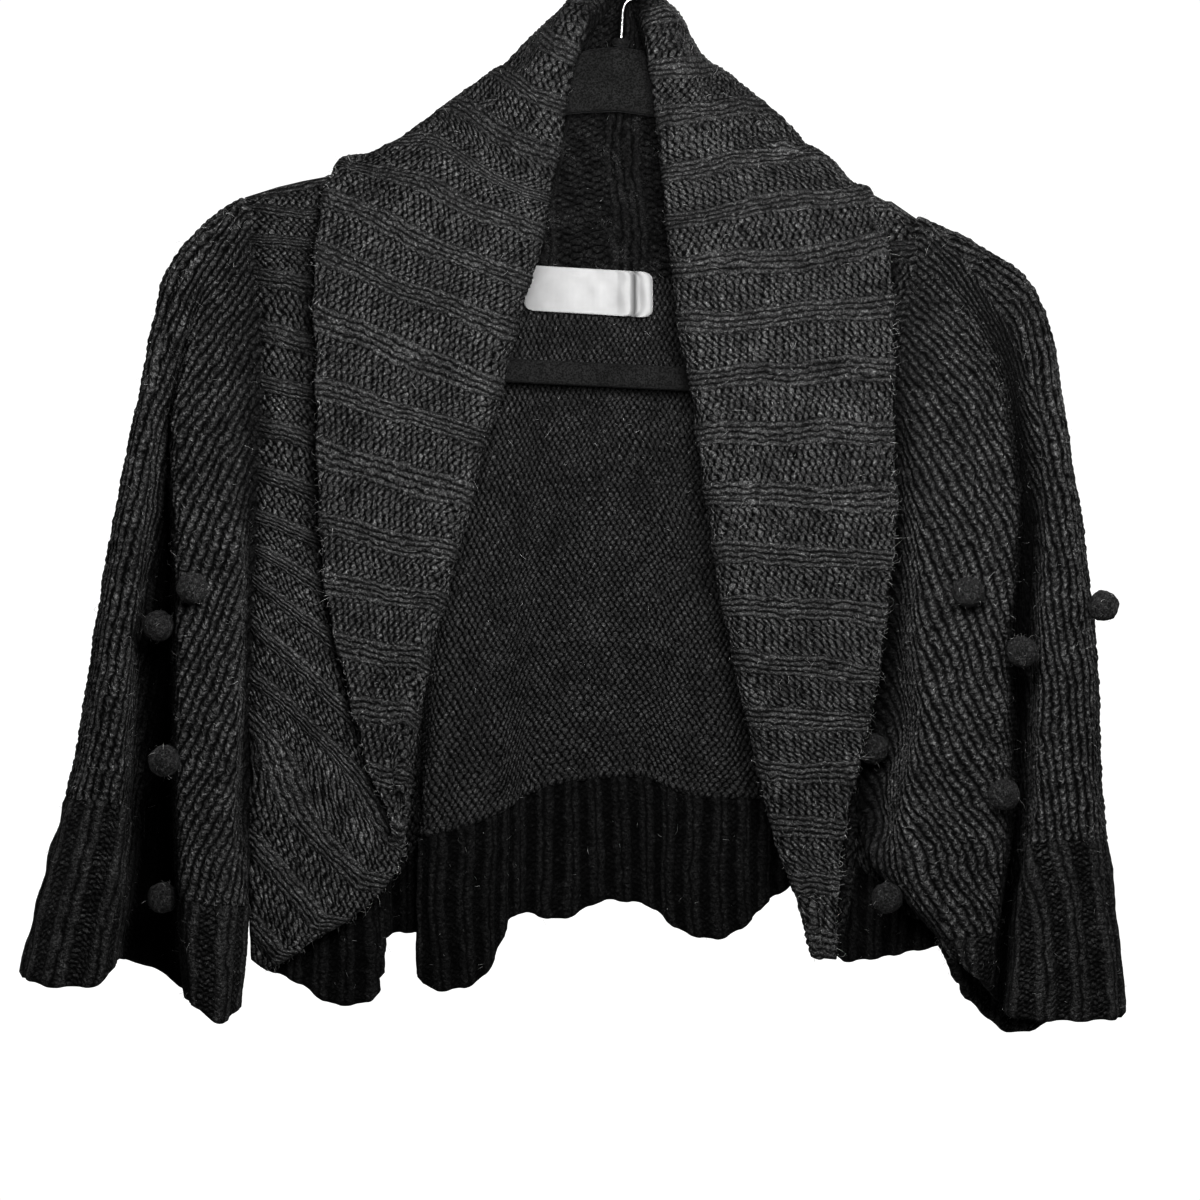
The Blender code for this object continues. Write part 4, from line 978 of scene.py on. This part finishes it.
def rib_turns(grid, sections, fold, far):
    """How many rib periods each point of the band is from its start."""
    fall = grid[:, int(grid.shape[1] * 0.8)]
    along = chord(fall)
    # LEFT_RIBS and RIGHT_RIBS are heights on these sections.
    left = (sections > 3.5) & (sections < 11)
    right = sections > 31
    from_left = np.interp(LEFT_RIBS, fall[left, 2], along[left])
    from_right = np.interp(-np.array(RIGHT_RIBS), -fall[right, 2], along[right])
    gap = round((from_right[0] - from_left[-1]) / BAND_RIB[1])
    knots = np.concatenate((from_left, from_right))
    turns = np.concatenate((np.arange(len(from_left)),
                            len(from_left) - 1 + gap + np.arange(len(from_right)))) + 0.5
    knots = np.concatenate(([knots[0] - 10 * BAND_RIB[1]], knots, [knots[-1] + 10 * BAND_RIB[1]]))
    turns = np.concatenate(([turns[0] - 10], turns, [turns[-1] + 10]))
    count = np.interp(along, knots, turns)[:, None]
    lean = np.array(RIB_LEAN, float)
    stand = np.interp(sections, lean[:, 0], lean[:, 1])[:, None]
    turned = np.interp(sections, lean[:, 0], lean[:, 2])[:, None]
    past = far - fold
    return count + np.where(past < 0, stand, -turned) * past / BAND_RIB[1]


def collar_pieces(rows, columns):
    """The collar band, in two halves that meet at the middle of the back neck."""
    grid, sections, fold, far = collar_form(rows, columns)
    turns = rib_turns(grid, sections, fold, far) + 0.03 * waves(grid, 41, 60)
    length = far[:, -1:]
    place = np.stack((turns, far / BAND_COURSE), axis=-1)
    hill = hill_of(turns)
    face = ribbed(turns, place[..., 1], *BAND_RIB, 42)
    away = np.abs(turns - np.floor(turns) - 0.5) * BAND_RIB[1]
    group = bounded((BAND_RIB[0] + 0.7 - away) / 1.6)
    swell = 0.7 * waves(grid, 44, 32) + 0.3 * waves(grid, 45, 13)
    grid = pushed(grid, 3, 1.1 * hill[:, -1] - 0.3, True)
    shoulder = sum(np.exp(-((sections - place) / 2) ** 2) for place in SHOULDERS)
    grid = pushed(grid, 4, 1.6 + 2.4 * shoulder, False)
    edge = rounded(np.minimum(far, length - far), 3.0)
    edge = edge * rounded(from_ends(rows)[:, None], 3.0)
    outer = edge * (RIB / 2 - 0.8 + BAND_RELIEF * face + 0.25 * hill + 0.5 * swell)
    furrow = np.cos(4 * math.pi * turns) * (far < fold)
    inner = edge * (RIB / 2 - 0.6 + 1.1 * group + 0.7 * face - 0.3 * swell + 1.1 * furrow)
    # On the fronts, which end at the sections 11 and 31, shade is painted onto the standing layer
    # where the edge of the turned-over one would shade it.
    beside = (grid[..., 0] - grid[:, -1:, 0]) / 7
    front = bounded(np.abs(sections - 21) - 9)[:, None]
    under = 0.92 * np.exp(-beside ** 2) * front * (far < fold)
    made = []
    cut = int(np.searchsorted(sections, NECK_MIDDLE)) // 12 * 12
    for side, part in (("left", slice(0, cut + 1)), ("right", slice(cut, None))):
        piece = wall(f"collar_{side}_ribs", grid[part], outer[part], inner[part], place[part],
                     (2, 4), -1)
        keep_hollow(piece, 0 * under[part], under[part][::2, ::4])
        made.append((piece, grid[part]))
    return made


# ---------------------------------------------------------------- small pieces
BALL_STEPS, LABEL_STEPS, HOOK_STEPS = (22, 36), (66, 26), (110, 20)


def ball_mesh(name, middle, seed):
    """A felted ball wound from yarn: a sphere with strands lying over it."""
    rows, columns = BALL_STEPS
    polar = np.linspace(0, math.pi, rows + 1)[1:-1]
    turn = np.arange(columns) * 2 * math.pi / columns
    p, t = np.meshgrid(polar, turn, indexing="ij")
    ways = np.stack((np.sin(p) * np.cos(t), np.sin(p) * np.sin(t), np.cos(p)), axis=-1)
    ways = np.concatenate((ways.reshape(-1, 3), [(0, 0, 1), (0, 0, -1)]))
    rng = np.random.default_rng(seed)
    high = np.zeros(len(ways))
    for _ in range(7):
        lean = ways @ unit(rng.normal(size=3))
        strand = np.exp(-((lean - rng.uniform(-0.5, 0.5)) / 0.11) ** 2)
        high = np.maximum(high, strand)
    lumps = waves(ways * 10, seed, 6)
    radius = BALL / 2 * (0.965 + 0.05 * high + 0.022 * lumps)
    points = (middle + ways * radius[:, None]) * MM
    index = np.arange((rows - 1) * columns).reshape(rows - 1, columns)
    index = np.concatenate((index, index[:, :1]), axis=1)
    faces = quads(index)[:, ::-1].tolist()
    top, low = len(ways) - 2, len(ways) - 1
    faces += [(top, index[0, k], index[0, k + 1]) for k in range(columns)]
    faces += [(low, index[-1, k + 1], index[-1, k]) for k in range(columns)]
    faces = [tuple(int(v) for v in face) for face in faces]
    return build(name, points, faces)


def ball_pieces():
    """Felted balls on both layers of each sleeve."""
    made = []
    for side, layers in BALLS.items():
        rings = np.linspace(1, CUFF_RING[side] + 1, 160)
        front = sleeve_front(side, rings, np.linspace(0, 8, 120))
        back = sleeve_back(side, rings, np.linspace(0, 4, 90))
        places = [
            ball_place(seen(points).reshape(-1, 3), target, way)
            for points, targets, way in zip((front, back), layers, (-1, 1))
            for target in targets
        ]
        for number, middle in enumerate(places):
            name = f"ball_{side}_{number + 1}"
            made.append((ball_mesh(name + "_felt", middle, 50 + len(made)), name))
    return made


LABEL_CORNER, LABEL_SLOPE = 4.5, 0.06  # the radius of its corners, and how it hangs down
# Shade is painted into the label's crease this far from its right end.
LABEL_CREASE = 9.0  # how far the crease is from its right end
# How far the label stands off: x from its right end, height.
LABEL_CURL = (
    (-70, 1.5), (-58, 0.5), (-40, 0.1), (-24, 0.4), (-18, 1.4), (-14.5, 2.8), (-12.2, 3.3),
    (-10.2, 2.0), (-8.4, 0.2), (-6.6, 0.4), (-4.4, 2.0), (-2.4, 2.2), (0, 0.6),
)


def label_piece():
    """A bare satin label with turned-in ends."""
    columns, rows = LABEL_STEPS
    x = np.linspace(LABEL["left"], LABEL["right"], columns + 1)
    z = np.linspace(LABEL["top"], LABEL["bottom"], rows + 1)
    neck = np.array(NECK, float)
    panel = smooth(neck[:, 0], neck[:, 1], x)
    before = np.array(LABEL_CURL) + (LABEL["right"], 0)
    curl = smooth(before[:, 0], before[:, 1], x)
    lift = RIB / 2 + SKIN_GAP + LABEL["thick"] / 2 + 0.8
    y = panel - lift - curl
    grid = np.stack(np.broadcast_arrays(x[None, :], y[None, :], z[:, None]), axis=-1).copy()
    corner = np.clip(LABEL_CORNER - np.minimum(z[0] - z, z - z[-1]), 0, None)[:, None]
    inset = LABEL_CORNER - np.sqrt(LABEL_CORNER ** 2 - corner ** 2)
    middle = (x[0] + x[-1]) / 2
    grid[..., 0] = middle + (grid[..., 0] - middle) * (1 - inset / (x[-1] - middle))
    grid[..., 2] -= (grid[..., 0] - middle) * LABEL_SLOPE
    grid[..., 1] += 0.25 * waves(grid, 61, 16)
    grid = seen(grid)
    inward = np.minimum(from_ends(columns), from_ends(rows)[:, None] * 0.9)
    half = LABEL["thick"] / 2 * rounded(inward, 1.2)
    half = half * (1 + 0.25 * np.exp(-(inward - 2.5) ** 2))
    return wall("label_satin", grid, half, half * 0.9, grid[..., :2], (1, 1), -1)


def tube(name, line, radius, sides):
    """A round wire with domed ends along a line of points in metres."""
    along = unit(np.gradient(line, axis=0))
    side = unit(np.cross(along, (0, 1, 0)))
    other = np.cross(along, side)
    turn = np.arange(sides) * 2 * math.pi / sides
    # Each ring's place on the line, how far past it the ring is, and its size, in radii.
    rings = [(0, -0.9, 0.35), (0, -0.6, 0.75), *((k, 0, 1) for k in range(len(line))),
             (-1, 0.6, 0.75), (-1, 0.9, 0.35)]
    points = np.concatenate([
        line[k] + along[k] * radius * step
        + radius * size * (np.cos(turn)[:, None] * side[k] + np.sin(turn)[:, None] * other[k])
        for k, step, size in rings
    ])
    index = np.arange(len(rings) * sides).reshape(len(rings), sides)
    index = np.concatenate((index, index[:, :1]), axis=1)
    faces = quads(index).tolist()
    faces.append(index[0, -2::-1].tolist())
    faces.append(index[-1, :-1].tolist())
    return build(name, points, faces)


def hook_piece():
    """The hook's wire, on the same line as its solid."""
    points = np.array(hook_points())
    along = chord(points)
    x, z = tilted(smooth(along, points, np.linspace(0, along[-1], HOOK_STEPS[0])))
    return tube("hook_wire", np.stack((x, 0 * x, z), axis=1) * MM, WIRE / 2 * MM, HOOK_STEPS[1])


def stray_fibres(surfaces, count, seed):
    """Loose hairs of the yarn: thin closed spikes that leave the cloth and bend over.

    `surfaces` are pieces, their shares of the hairs and the points that the hairs leave from.
    """
    rng = np.random.default_rng(seed)
    points, faces = [], []
    shares = np.array([share for _, share, _ in surfaces], float)
    chosen = rng.multinomial(count, shares / shares.sum())
    turn = np.arange(3) * 2 * math.pi / 3
    for (piece, _, roots), number in zip(surfaces, chosen):
        verts = np.empty(len(piece.data.vertices) * 3)
        piece.data.vertices.foreach_get("co", verts)
        ways = np.empty(len(verts))
        piece.data.vertices.foreach_get("normal", ways)
        for pick in rng.choice(roots.ravel(), number):
            out, start = ways[3 * pick:3 * pick + 3], verts[3 * pick:3 * pick + 3]
            bend = rng.normal(size=3)
            bend = unit(bend - out * (bend @ out))
            long = rng.gamma(3.0, 0.65) * MM
            first = start - out * 0.3 * MM
            middle = first + (out * 0.6 + bend * 0.5) * long
            last = middle + (out * rng.uniform(-0.3, 0.5) + bend * 0.7) * long
            side = np.cross(out, bend)
            thick = rng.uniform(0.045, 0.085) * MM
            ring = np.cos(turn)[:, None] * side + np.sin(turn)[:, None] * out
            a = 7 * (len(points) // 3)
            points += [first + ring * thick, middle + ring * thick, last[None]]
            faces.append((a, a + 2, a + 1))
            for k in range(3):
                n = (k + 1) % 3
                faces.append((a + k, a + n, a + 3 + n, a + 3 + k))
                faces.append((a + 3 + k, a + 3 + n, a + 6))
    return build("stray_fibres", np.concatenate(points), faces)


# ---------------------------------------------------------------- finishes
# Noise scales of the yarn, in lumps per metre, and of the stitches' stray from their places.
GRAIN = {"fibre": 760.0, "tuft": 380.0, "broad": 60.0, "thread": 300.0, "patch": 90.0}
STRAY = 180.0, 189.0
# Shade is painted into the gaps between the stitches; this share of the yarn's brightness stays.
PAINTED_GAP_FLOOR = 0.02  # how bright the yarn is between its stitches, as a share
# Shares of painted shade: folds, beside seams and under the collar's edge; inside the neck.
HOLLOW_PAINTED_SHADE, NECK_PAINTED_SHADE = 0.96, 0.76  # how much darker the folds and the inside of the neck are


def nodes_of(name, **settings):
    """A material, its tree, its shader with those sockets set, and the place in the object."""
    made = bpy.data.materials.new(name)
    made.use_nodes = True
    tree = made.node_tree
    shader = tree.nodes["Principled BSDF"]
    for key, value in settings.items():
        shader.inputs[key.replace("_", " ")].default_value = value
    return made, tree, shader, node(tree, "TexCoord").outputs["Object"]


def node(tree, kind, **values):
    """A node with its properties, and sockets given as numbers or as links."""
    made = tree.nodes.new("ShaderNode" + kind)
    for key, value in values.items():
        if hasattr(made, key) and not key.startswith("in_"):
            setattr(made, key, value)
            continue
        socket = made.inputs[key[3:].replace("_", " ") if not key[3:].isdigit() else int(key[3:])]
        if isinstance(value, bpy.types.NodeSocket):
            tree.links.new(value, socket)
        else:
            socket.default_value = value
    return made


def finish(tree, shader, tone, height=None, strength=1.0, distance=MM):
    """Links a tone, and a height if there is one, to the shader."""
    tree.links.new(tone, shader.inputs["Base Color"])
    if height:
        bump = node(tree, "Bump", in_Strength=strength, in_Distance=distance, in_Height=height)
        tree.links.new(bump.outputs["Normal"], shader.inputs["Normal"])


def ramp(fac, *stops):
    """Greys between two stops, each a place and a grey."""
    made = node(fac.socket.id_data, "ValToRGB", in_Fac=fac.socket)
    for point, (place, grey) in zip(made.color_ramp.elements, stops):
        point.position = place
        point.color = (grey, grey, grey, 1)
    return made.outputs["Color"]


class Shade(np.lib.mixins.NDArrayOperatorsMixin):
    """A number in a shader: arithmetic and the stitch functions on it make Math nodes."""

    KINDS = {
        "add": "ADD", "subtract": "SUBTRACT", "multiply": "MULTIPLY", "divide": "DIVIDE",
        "power": "POWER", "floor": "FLOOR", "sin": "SINE", "cos": "COSINE",
        "absolute": "ABSOLUTE", "minimum": "MINIMUM", "maximum": "MAXIMUM",
    }

    def __init__(self, socket):
        self.socket = socket

    def __array_ufunc__(self, ufunc, method, *parts, **options):
        tree = self.socket.id_data
        made = tree.nodes.new("ShaderNodeMath")
        made.operation = self.KINDS[ufunc.__name__]
        for socket, part in zip(made.inputs, parts):
            if isinstance(part, Shade):
                tree.links.new(part.socket, socket)
            else:
                socket.default_value = part
        return Shade(made.outputs[0])


def noise(tree, place, scale, **settings):
    """A noise texture's value, 0 to 1 with its middle at a half."""
    settings = {f"in_{key}": value for key, value in settings.items()}
    return Shade(node(tree, "TexNoise", in_Vector=place, in_Scale=scale, **settings).outputs["Fac"])


def yarn_material(name, stitch, pitch, depth, light, wander=5.0, sheen=0.03, gap=1.9, shade=None):
    """Woollen yarn in stitches: mottled, with shade painted between the stitches, fuzzy and dull.

    `stitch` gives the height of the knit from its places, `pitch` their size in millimetres and
    `wander` how far they stray. `gap` sharpens the shade painted between the stitches and `shade`,
    if given, paints more shade in some places.
    """
    made, tree, shader, place = nodes_of(
        name, Roughness=0.9, Sheen_Weight=sheen, Sheen_Roughness=0.5,
        Sheen_Tint=(0.5, 0.5, 0.51, 1), Specular_IOR_Level=0.03,
    )
    knit = node(tree, "SeparateXYZ", in_0=node(tree, "UVMap", uv_map="knit").outputs["UV"])
    across, along = (
        Shade(knit.outputs[k])
        + (noise(tree, place, STRAY[k], Detail=3.0, Roughness=0.6) - 0.5) * wander / pitch[k]
        for k in (0, 1)
    )
    high = stitch(across, along)
    fibre = noise(tree, place, GRAIN["fibre"], Detail=3.0, Roughness=0.75, Distortion=0.9)
    tuft = noise(tree, place, GRAIN["tuft"], Detail=2.0, Roughness=0.7, Distortion=1.5)
    broad = noise(tree, place, GRAIN["broad"], Detail=2.0)
    pale = bounded((fibre - 0.32) * 2.7)
    tone = (pale * pale + 0.1) * light
    # Shade is painted into the gaps between the stitches.
    face = np.power(bounded(high * 1.9 - 0.1), gap)
    tone = tone * (face * (1.0 - PAINTED_GAP_FLOOR) + PAINTED_GAP_FLOOR)
    tone = tone * np.maximum((broad - 0.5) * 1.2 + (tuft - 0.5) * 1.9 + 1.0, 0.15)
    # More shade is painted where `shade` is given, such as inside the back of the neck.
    if shade:
        tone = tone * shade(across, along)
    # Fine loose hairs lie over the stitches in patches; their lightness is a painted sheen.
    thread = noise(tree, place, GRAIN["thread"], Detail=1.0, Distortion=2.5)
    patch = bounded((noise(tree, place, GRAIN["patch"]) - 0.5) * 6.0)
    tone = tone + bounded(1.0 - np.abs(thread - 0.5) * 60.0) * patch * (light * 0.8)
    # Painted shade in the folds, beside the sleeves' seams and under the collar's edge.
    painted_shade = Shade(node(tree, "Attribute", attribute_name="painted_shade").outputs["Fac"])
    tone = tone * (1.0 - painted_shade * HOLLOW_PAINTED_SHADE)
    finish(tree, shader, tone.socket, (high * depth * 1.7 + fibre * 0.9 + tuft * 0.7).socket)
    return made


def yarn_finishes():
    """Outer and inner finish of the collar, cuffs, hem, sleeves and back, and of the felt."""
    def ribs(rib, seed, shift=0.0):
        return lambda across, along: ribbed(across + shift, along, *rib, seed)

    def plain(across, along):
        return knitted(across, along, 5)

    def reverse(across, along):
        return purled(across, along, 22, slant=-0.12)

    def felt(across, along):
        return across * 0.0 + 0.8

    def inside_neck(across, along):
        """Painted shade on the standing part at the back of the neck."""
        behind = bounded(3.0 - np.abs(across - NECK_TURNS[0]) * (3.0 / NECK_TURNS[1]))
        below = bounded((NECK_TURNS[2] - along) * 0.5)
        return 1.0 - behind * below * NECK_PAINTED_SHADE

    band = BAND_RIB[1], BAND_COURSE
    cuff, hem = (CUFF_RIB[1], RIB_COURSE), (HEM_RIB[1], RIB_COURSE)
    flat, back = (WALE, COURSE), (BACK_WALE, BACK_COURSE)
    # Each piece's yarn brightness is fitted to how bright that piece looks where it hangs, so it is
    # partly painted light and shade: the hem's front is painted far darker than its back, and the
    # collar's standing layer lighter than its turned-over layer.
    return {
        "collar": (
            yarn_material("yarn_collar", ribs(BAND_RIB, 42), band, 1.6, 0.115, shade=inside_neck),
            yarn_material("yarn_collar_outside", ribs(BAND_RIB, 42), band, 1.8, 0.132),
        ),
        "cuff": (yarn_material("yarn_cuff", ribs(CUFF_RIB, 11), cuff, 1.5, 0.063, sheen=0.02),
                 yarn_material("yarn_cuff_inside", ribs(CUFF_RIB, 12, 0.5), cuff, 1.5, 0.06)),
        "hem": (yarn_material("yarn_hem", ribs(HEM_RIB, 31), hem, 1.5, 0.0235, sheen=0.02),
                yarn_material("yarn_hem_behind", ribs(HEM_RIB, 32, 0.5), hem, 1.5, 0.06)),
        "sleeve": (yarn_material("yarn_plain", plain, flat, 2.2, 0.118, gap=1.5),
                   yarn_material("yarn_inside", reverse, flat, 1.6, 0.06)),
        "back": (yarn_material("yarn_reverse", reverse, back, 2.0, 0.074, wander=3.8, gap=1.3),
                 yarn_material("yarn_behind", plain, flat, 2.0, 0.1)),
        "felt": (yarn_material("yarn_felt", felt, flat, 0.0, 0.05),),
    }


def flock_material():
    """Short black velvet flock: nearly no gloss, a soft edge sheen."""
    made, tree, shader, place = nodes_of(
        "flock_black", Roughness=0.9, Sheen_Weight=0.12, Sheen_Roughness=0.3,
        Sheen_Tint=(0.3, 0.3, 0.31, 1), Specular_IOR_Level=0.1,
    )
    pile = noise(tree, place, 1300.0, Detail=2.0)
    worn = noise(tree, place, 60.0, Detail=3.0)
    tone = ramp(pile, (0.38, 0.003), (0.62, 0.013))
    wear = ramp(worn, (0.35, 0.8), (0.7, 1.25))
    mixed = node(tree, "Mix", data_type="RGBA", blend_type="MULTIPLY",
                 in_0=1.0, in_6=tone, in_7=wear)
    finish(tree, shader, mixed.outputs[2], pile.socket, 0.5, 0.3 * MM)
    return made


def chrome_material():
    """Plated steel wire with faint drawing marks."""
    made, tree, shader, place = nodes_of("chrome_wire", Metallic=1.0)
    marks = noise(tree, place, 900.0, Detail=3.0)
    tree.links.new(ramp(marks, (0.3, 0.14), (0.75, 0.3)), shader.inputs["Roughness"])
    finish(tree, shader, ramp(marks, (0.3, 0.2), (0.8, 0.34)))
    return made


def satin_material():
    """Woven white satin, its warp running along the label."""
    made, tree, shader, place = nodes_of(
        "satin_white", Roughness=0.42, Sheen_Weight=0.3, Specular_IOR_Level=0.45,
    )
    warp, weft = (
        Shade(node(tree, "TexWave", wave_type="BANDS", bands_direction=way, in_Vector=place,
                   in_Scale=scale, in_Distortion=bent, in_Detail=2.0).outputs["Fac"])
        for way, scale, bent in (("Z", 1150.0, 1.2), ("X", 500.0, 0.6))
    )
    tone = Shade(ramp(noise(tree, place, 140.0, Detail=3.0), (0.3, 0.178), (0.7, 0.194)))
    x = Shade(node(tree, "SeparateXYZ", in_0=place).outputs[0]) / MM - LABEL["right"]
    # Shade is painted into the crease beside its right end, and towards its left end.
    crease_shade = np.maximum(1.0 - np.abs(x + LABEL_CREASE) * 0.4, 0.0)
    tone = tone * (1.0 - crease_shade * 0.75) * (bounded(x / 24.0 + 2.6) * 0.35 + 0.65)
    finish(tree, shader, tone.socket, (warp + weft).socket, 0.35, 0.2 * MM)
    return made


def hair_material():
    """Single hairs, lighter than their yarn: a painted sheen where they catch the light."""
    made, tree, shader, place = nodes_of("yarn_hair", Roughness=0.6, Sheen_Weight=0.5)
    finish(tree, shader, ramp(noise(tree, place, 260.0), (0.35, 0.08), (0.65, 0.32)))
    return made


# ---------------------------------------------------------------- studio
FLOOR = -1.75  # height of the floor in metres
FLOOR_GLOW = 0.62  # how strongly it glows for the camera
AMBIENT, SURROUND = 0.035, 1.05  # how bright the white surround is as a light and to the camera
CAMERA = 89.325, 36.0  # focal length and sensor width
# The lamps' places, targets, sizes and powers.
LAMPS = {
    "key": ((0.05, -0.58, -0.13), (0.0, 0.0, -0.25), 0.28, 15.5),
    "fill": ((1.0, -1.4, 0.1), (0.0, 0.0, -0.3), 0.6, 3),
    "left": ((-1.4, 0.55, 0.0), (0.0, 0.0, -0.25), 0.6, 28),
    "right": ((1.4, 0.55, 0.0), (0.0, 0.0, -0.25), 0.6, 28),
    "behind": ((0.1, 1.3, 0.5), (0.0, 0.0, -0.3), 0.8, 85),
}


def floor_material():
    """A plain pale studio floor."""
    made, tree, shader, place = nodes_of("studio_floor", Roughness=0.85, Specular_IOR_Level=0.2)
    finish(tree, shader, ramp(noise(tree, place, 3.0, Detail=2.0), (0.3, 0.78), (0.7, 0.82)))
    # It glows for the camera only, so that it is pale and doesn't light the cloth from below.
    seen_pale = Shade(node(tree, "LightPath").outputs["Is Camera Ray"]) * FLOOR_GLOW
    shader.inputs["Emission Color"].default_value = (1, 1, 1, 1)
    tree.links.new(seen_pale.socket, shader.inputs["Emission Strength"])
    return made


def lamp(name, place, target, size, power):
    """A soft square lamp that faces a target."""
    data = bpy.data.lights.new(name, "AREA")
    data.shape = "SQUARE"
    data.size = size
    data.energy = power
    made = bpy.data.objects.new(name, data)
    made.visible_camera = False
    made.location = place
    aim = Vector(target) - Vector(place)
    made.rotation_euler = aim.to_track_quat("-Z", "Y").to_euler()
    bpy.context.scene.collection.objects.link(made)


def studio():
    """The camera, a white surround that lights the cloth softly, the lamps and a pale floor."""
    scene = bpy.context.scene
    data = bpy.data.cameras.new("camera")
    data.lens, data.sensor_width = CAMERA
    camera = bpy.data.objects.new("camera", data)
    camera.location = EYE * MM
    camera.rotation_euler = (math.pi / 2, 0, 0)
    scene.collection.objects.link(camera)
    scene.camera = camera
    scene.view_settings.view_transform = "Standard"
    scene.view_settings.gamma = 0.72

    world = bpy.data.worlds.new("studio")
    world.use_nodes = True
    tree = world.node_tree
    seen_white = Shade(node(tree, "LightPath").outputs["Is Camera Ray"])
    strength = seen_white * (SURROUND - AMBIENT) + AMBIENT
    background = tree.nodes["Background"]
    background.inputs["Color"].default_value = (1, 1, 1, 1)
    tree.links.new(strength.socket, background.inputs["Strength"])
    scene.world = world
    for name, settings in LAMPS.items():
        lamp(name, *settings)

    bpy.ops.mesh.primitive_circle_add(vertices=96, radius=4.0, fill_type="NGON",
                                      location=(0, 0, FLOOR))
    floor = bpy.context.object
    floor.name = "floor"
    floor.data.materials.append(floor_material())


# ---------------------------------------------------------------- the whole
# Steps along and across each wall, and the loose hairs' number and seed.
COLLAR_STEPS, SLEEVE_STEPS, CUFF_STEPS = (1176, 124), (276, 264), (40, 300)
BACK_STEPS, HEM_STEPS = (200, 300), (30, 420)
HAIRS = 4600, 71


def finish_piece(piece, materials, slot, *stands_for):
    """Gives a piece its finishes and its body, and hides the solids that it stands for; `slot` is
    not used.
    """
    for material in materials:
        piece.data.materials.append(material)
    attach(piece, "root")
    if stands_for:
        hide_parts(*stands_for)


def main():
    """Builds every visible piece with its finish."""
    studio()
    yarn = yarn_finishes()
    flock, chrome, satin = flock_material(), chrome_material(), satin_material()

    hairy = []
    for piece, grid in collar_pieces(*COLLAR_STEPS):
        finish_piece(piece, yarn["collar"], "yarn", "collar_band")
        surface_area(grid)
        hairy += [(piece, 5, outer_points(grid)), (piece, 3, outer_points(grid)[:, -3:])]
    for side in ("left", "right"):
        piece, grid = sleeve_piece(side, *SLEEVE_STEPS)
        finish_piece(piece, yarn["sleeve"], "yarn", f"sleeve_{side}")
        surface_area(grid)
        hairy.append((piece, 3, outer_points(grid)))
        piece, grid = cuff_piece(side, *CUFF_STEPS)
        finish_piece(piece, yarn["cuff"], "yarn", f"cuff_{side}")
        surface_area(grid)
        hairy.append((piece, 1, outer_points(grid)))
    piece, grid = back_piece(*BACK_STEPS)
    finish_piece(piece, yarn["back"], "yarn", "back_panel")
    surface_area(grid)
    hairy.append((piece, 1.5, outer_points(grid)))
    piece, grid = hem_piece(*HEM_STEPS)
    finish_piece(piece, yarn["hem"], "yarn", "hem_band")
    surface_area(grid)
    hairy.append((piece, 0.8, outer_points(grid)))
    for piece, name in ball_pieces():
        finish_piece(piece, yarn["felt"], "yarn", name)
        hairy.append((piece, 0.08, np.arange(len(piece.data.vertices))))
    piece = label_piece()
    finish_piece(piece, (satin, satin), "satin", "label")
    finish_piece(hook_piece(), (chrome,), "chrome", "hanger_hook")
    finish_piece(stray_fibres(hairy, *HAIRS), (hair_material(),), "yarn")

    for name in ("hanger_body", "hanger_ferrule"):
        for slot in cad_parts[name].material_slots:
            slot.material = flock


main()
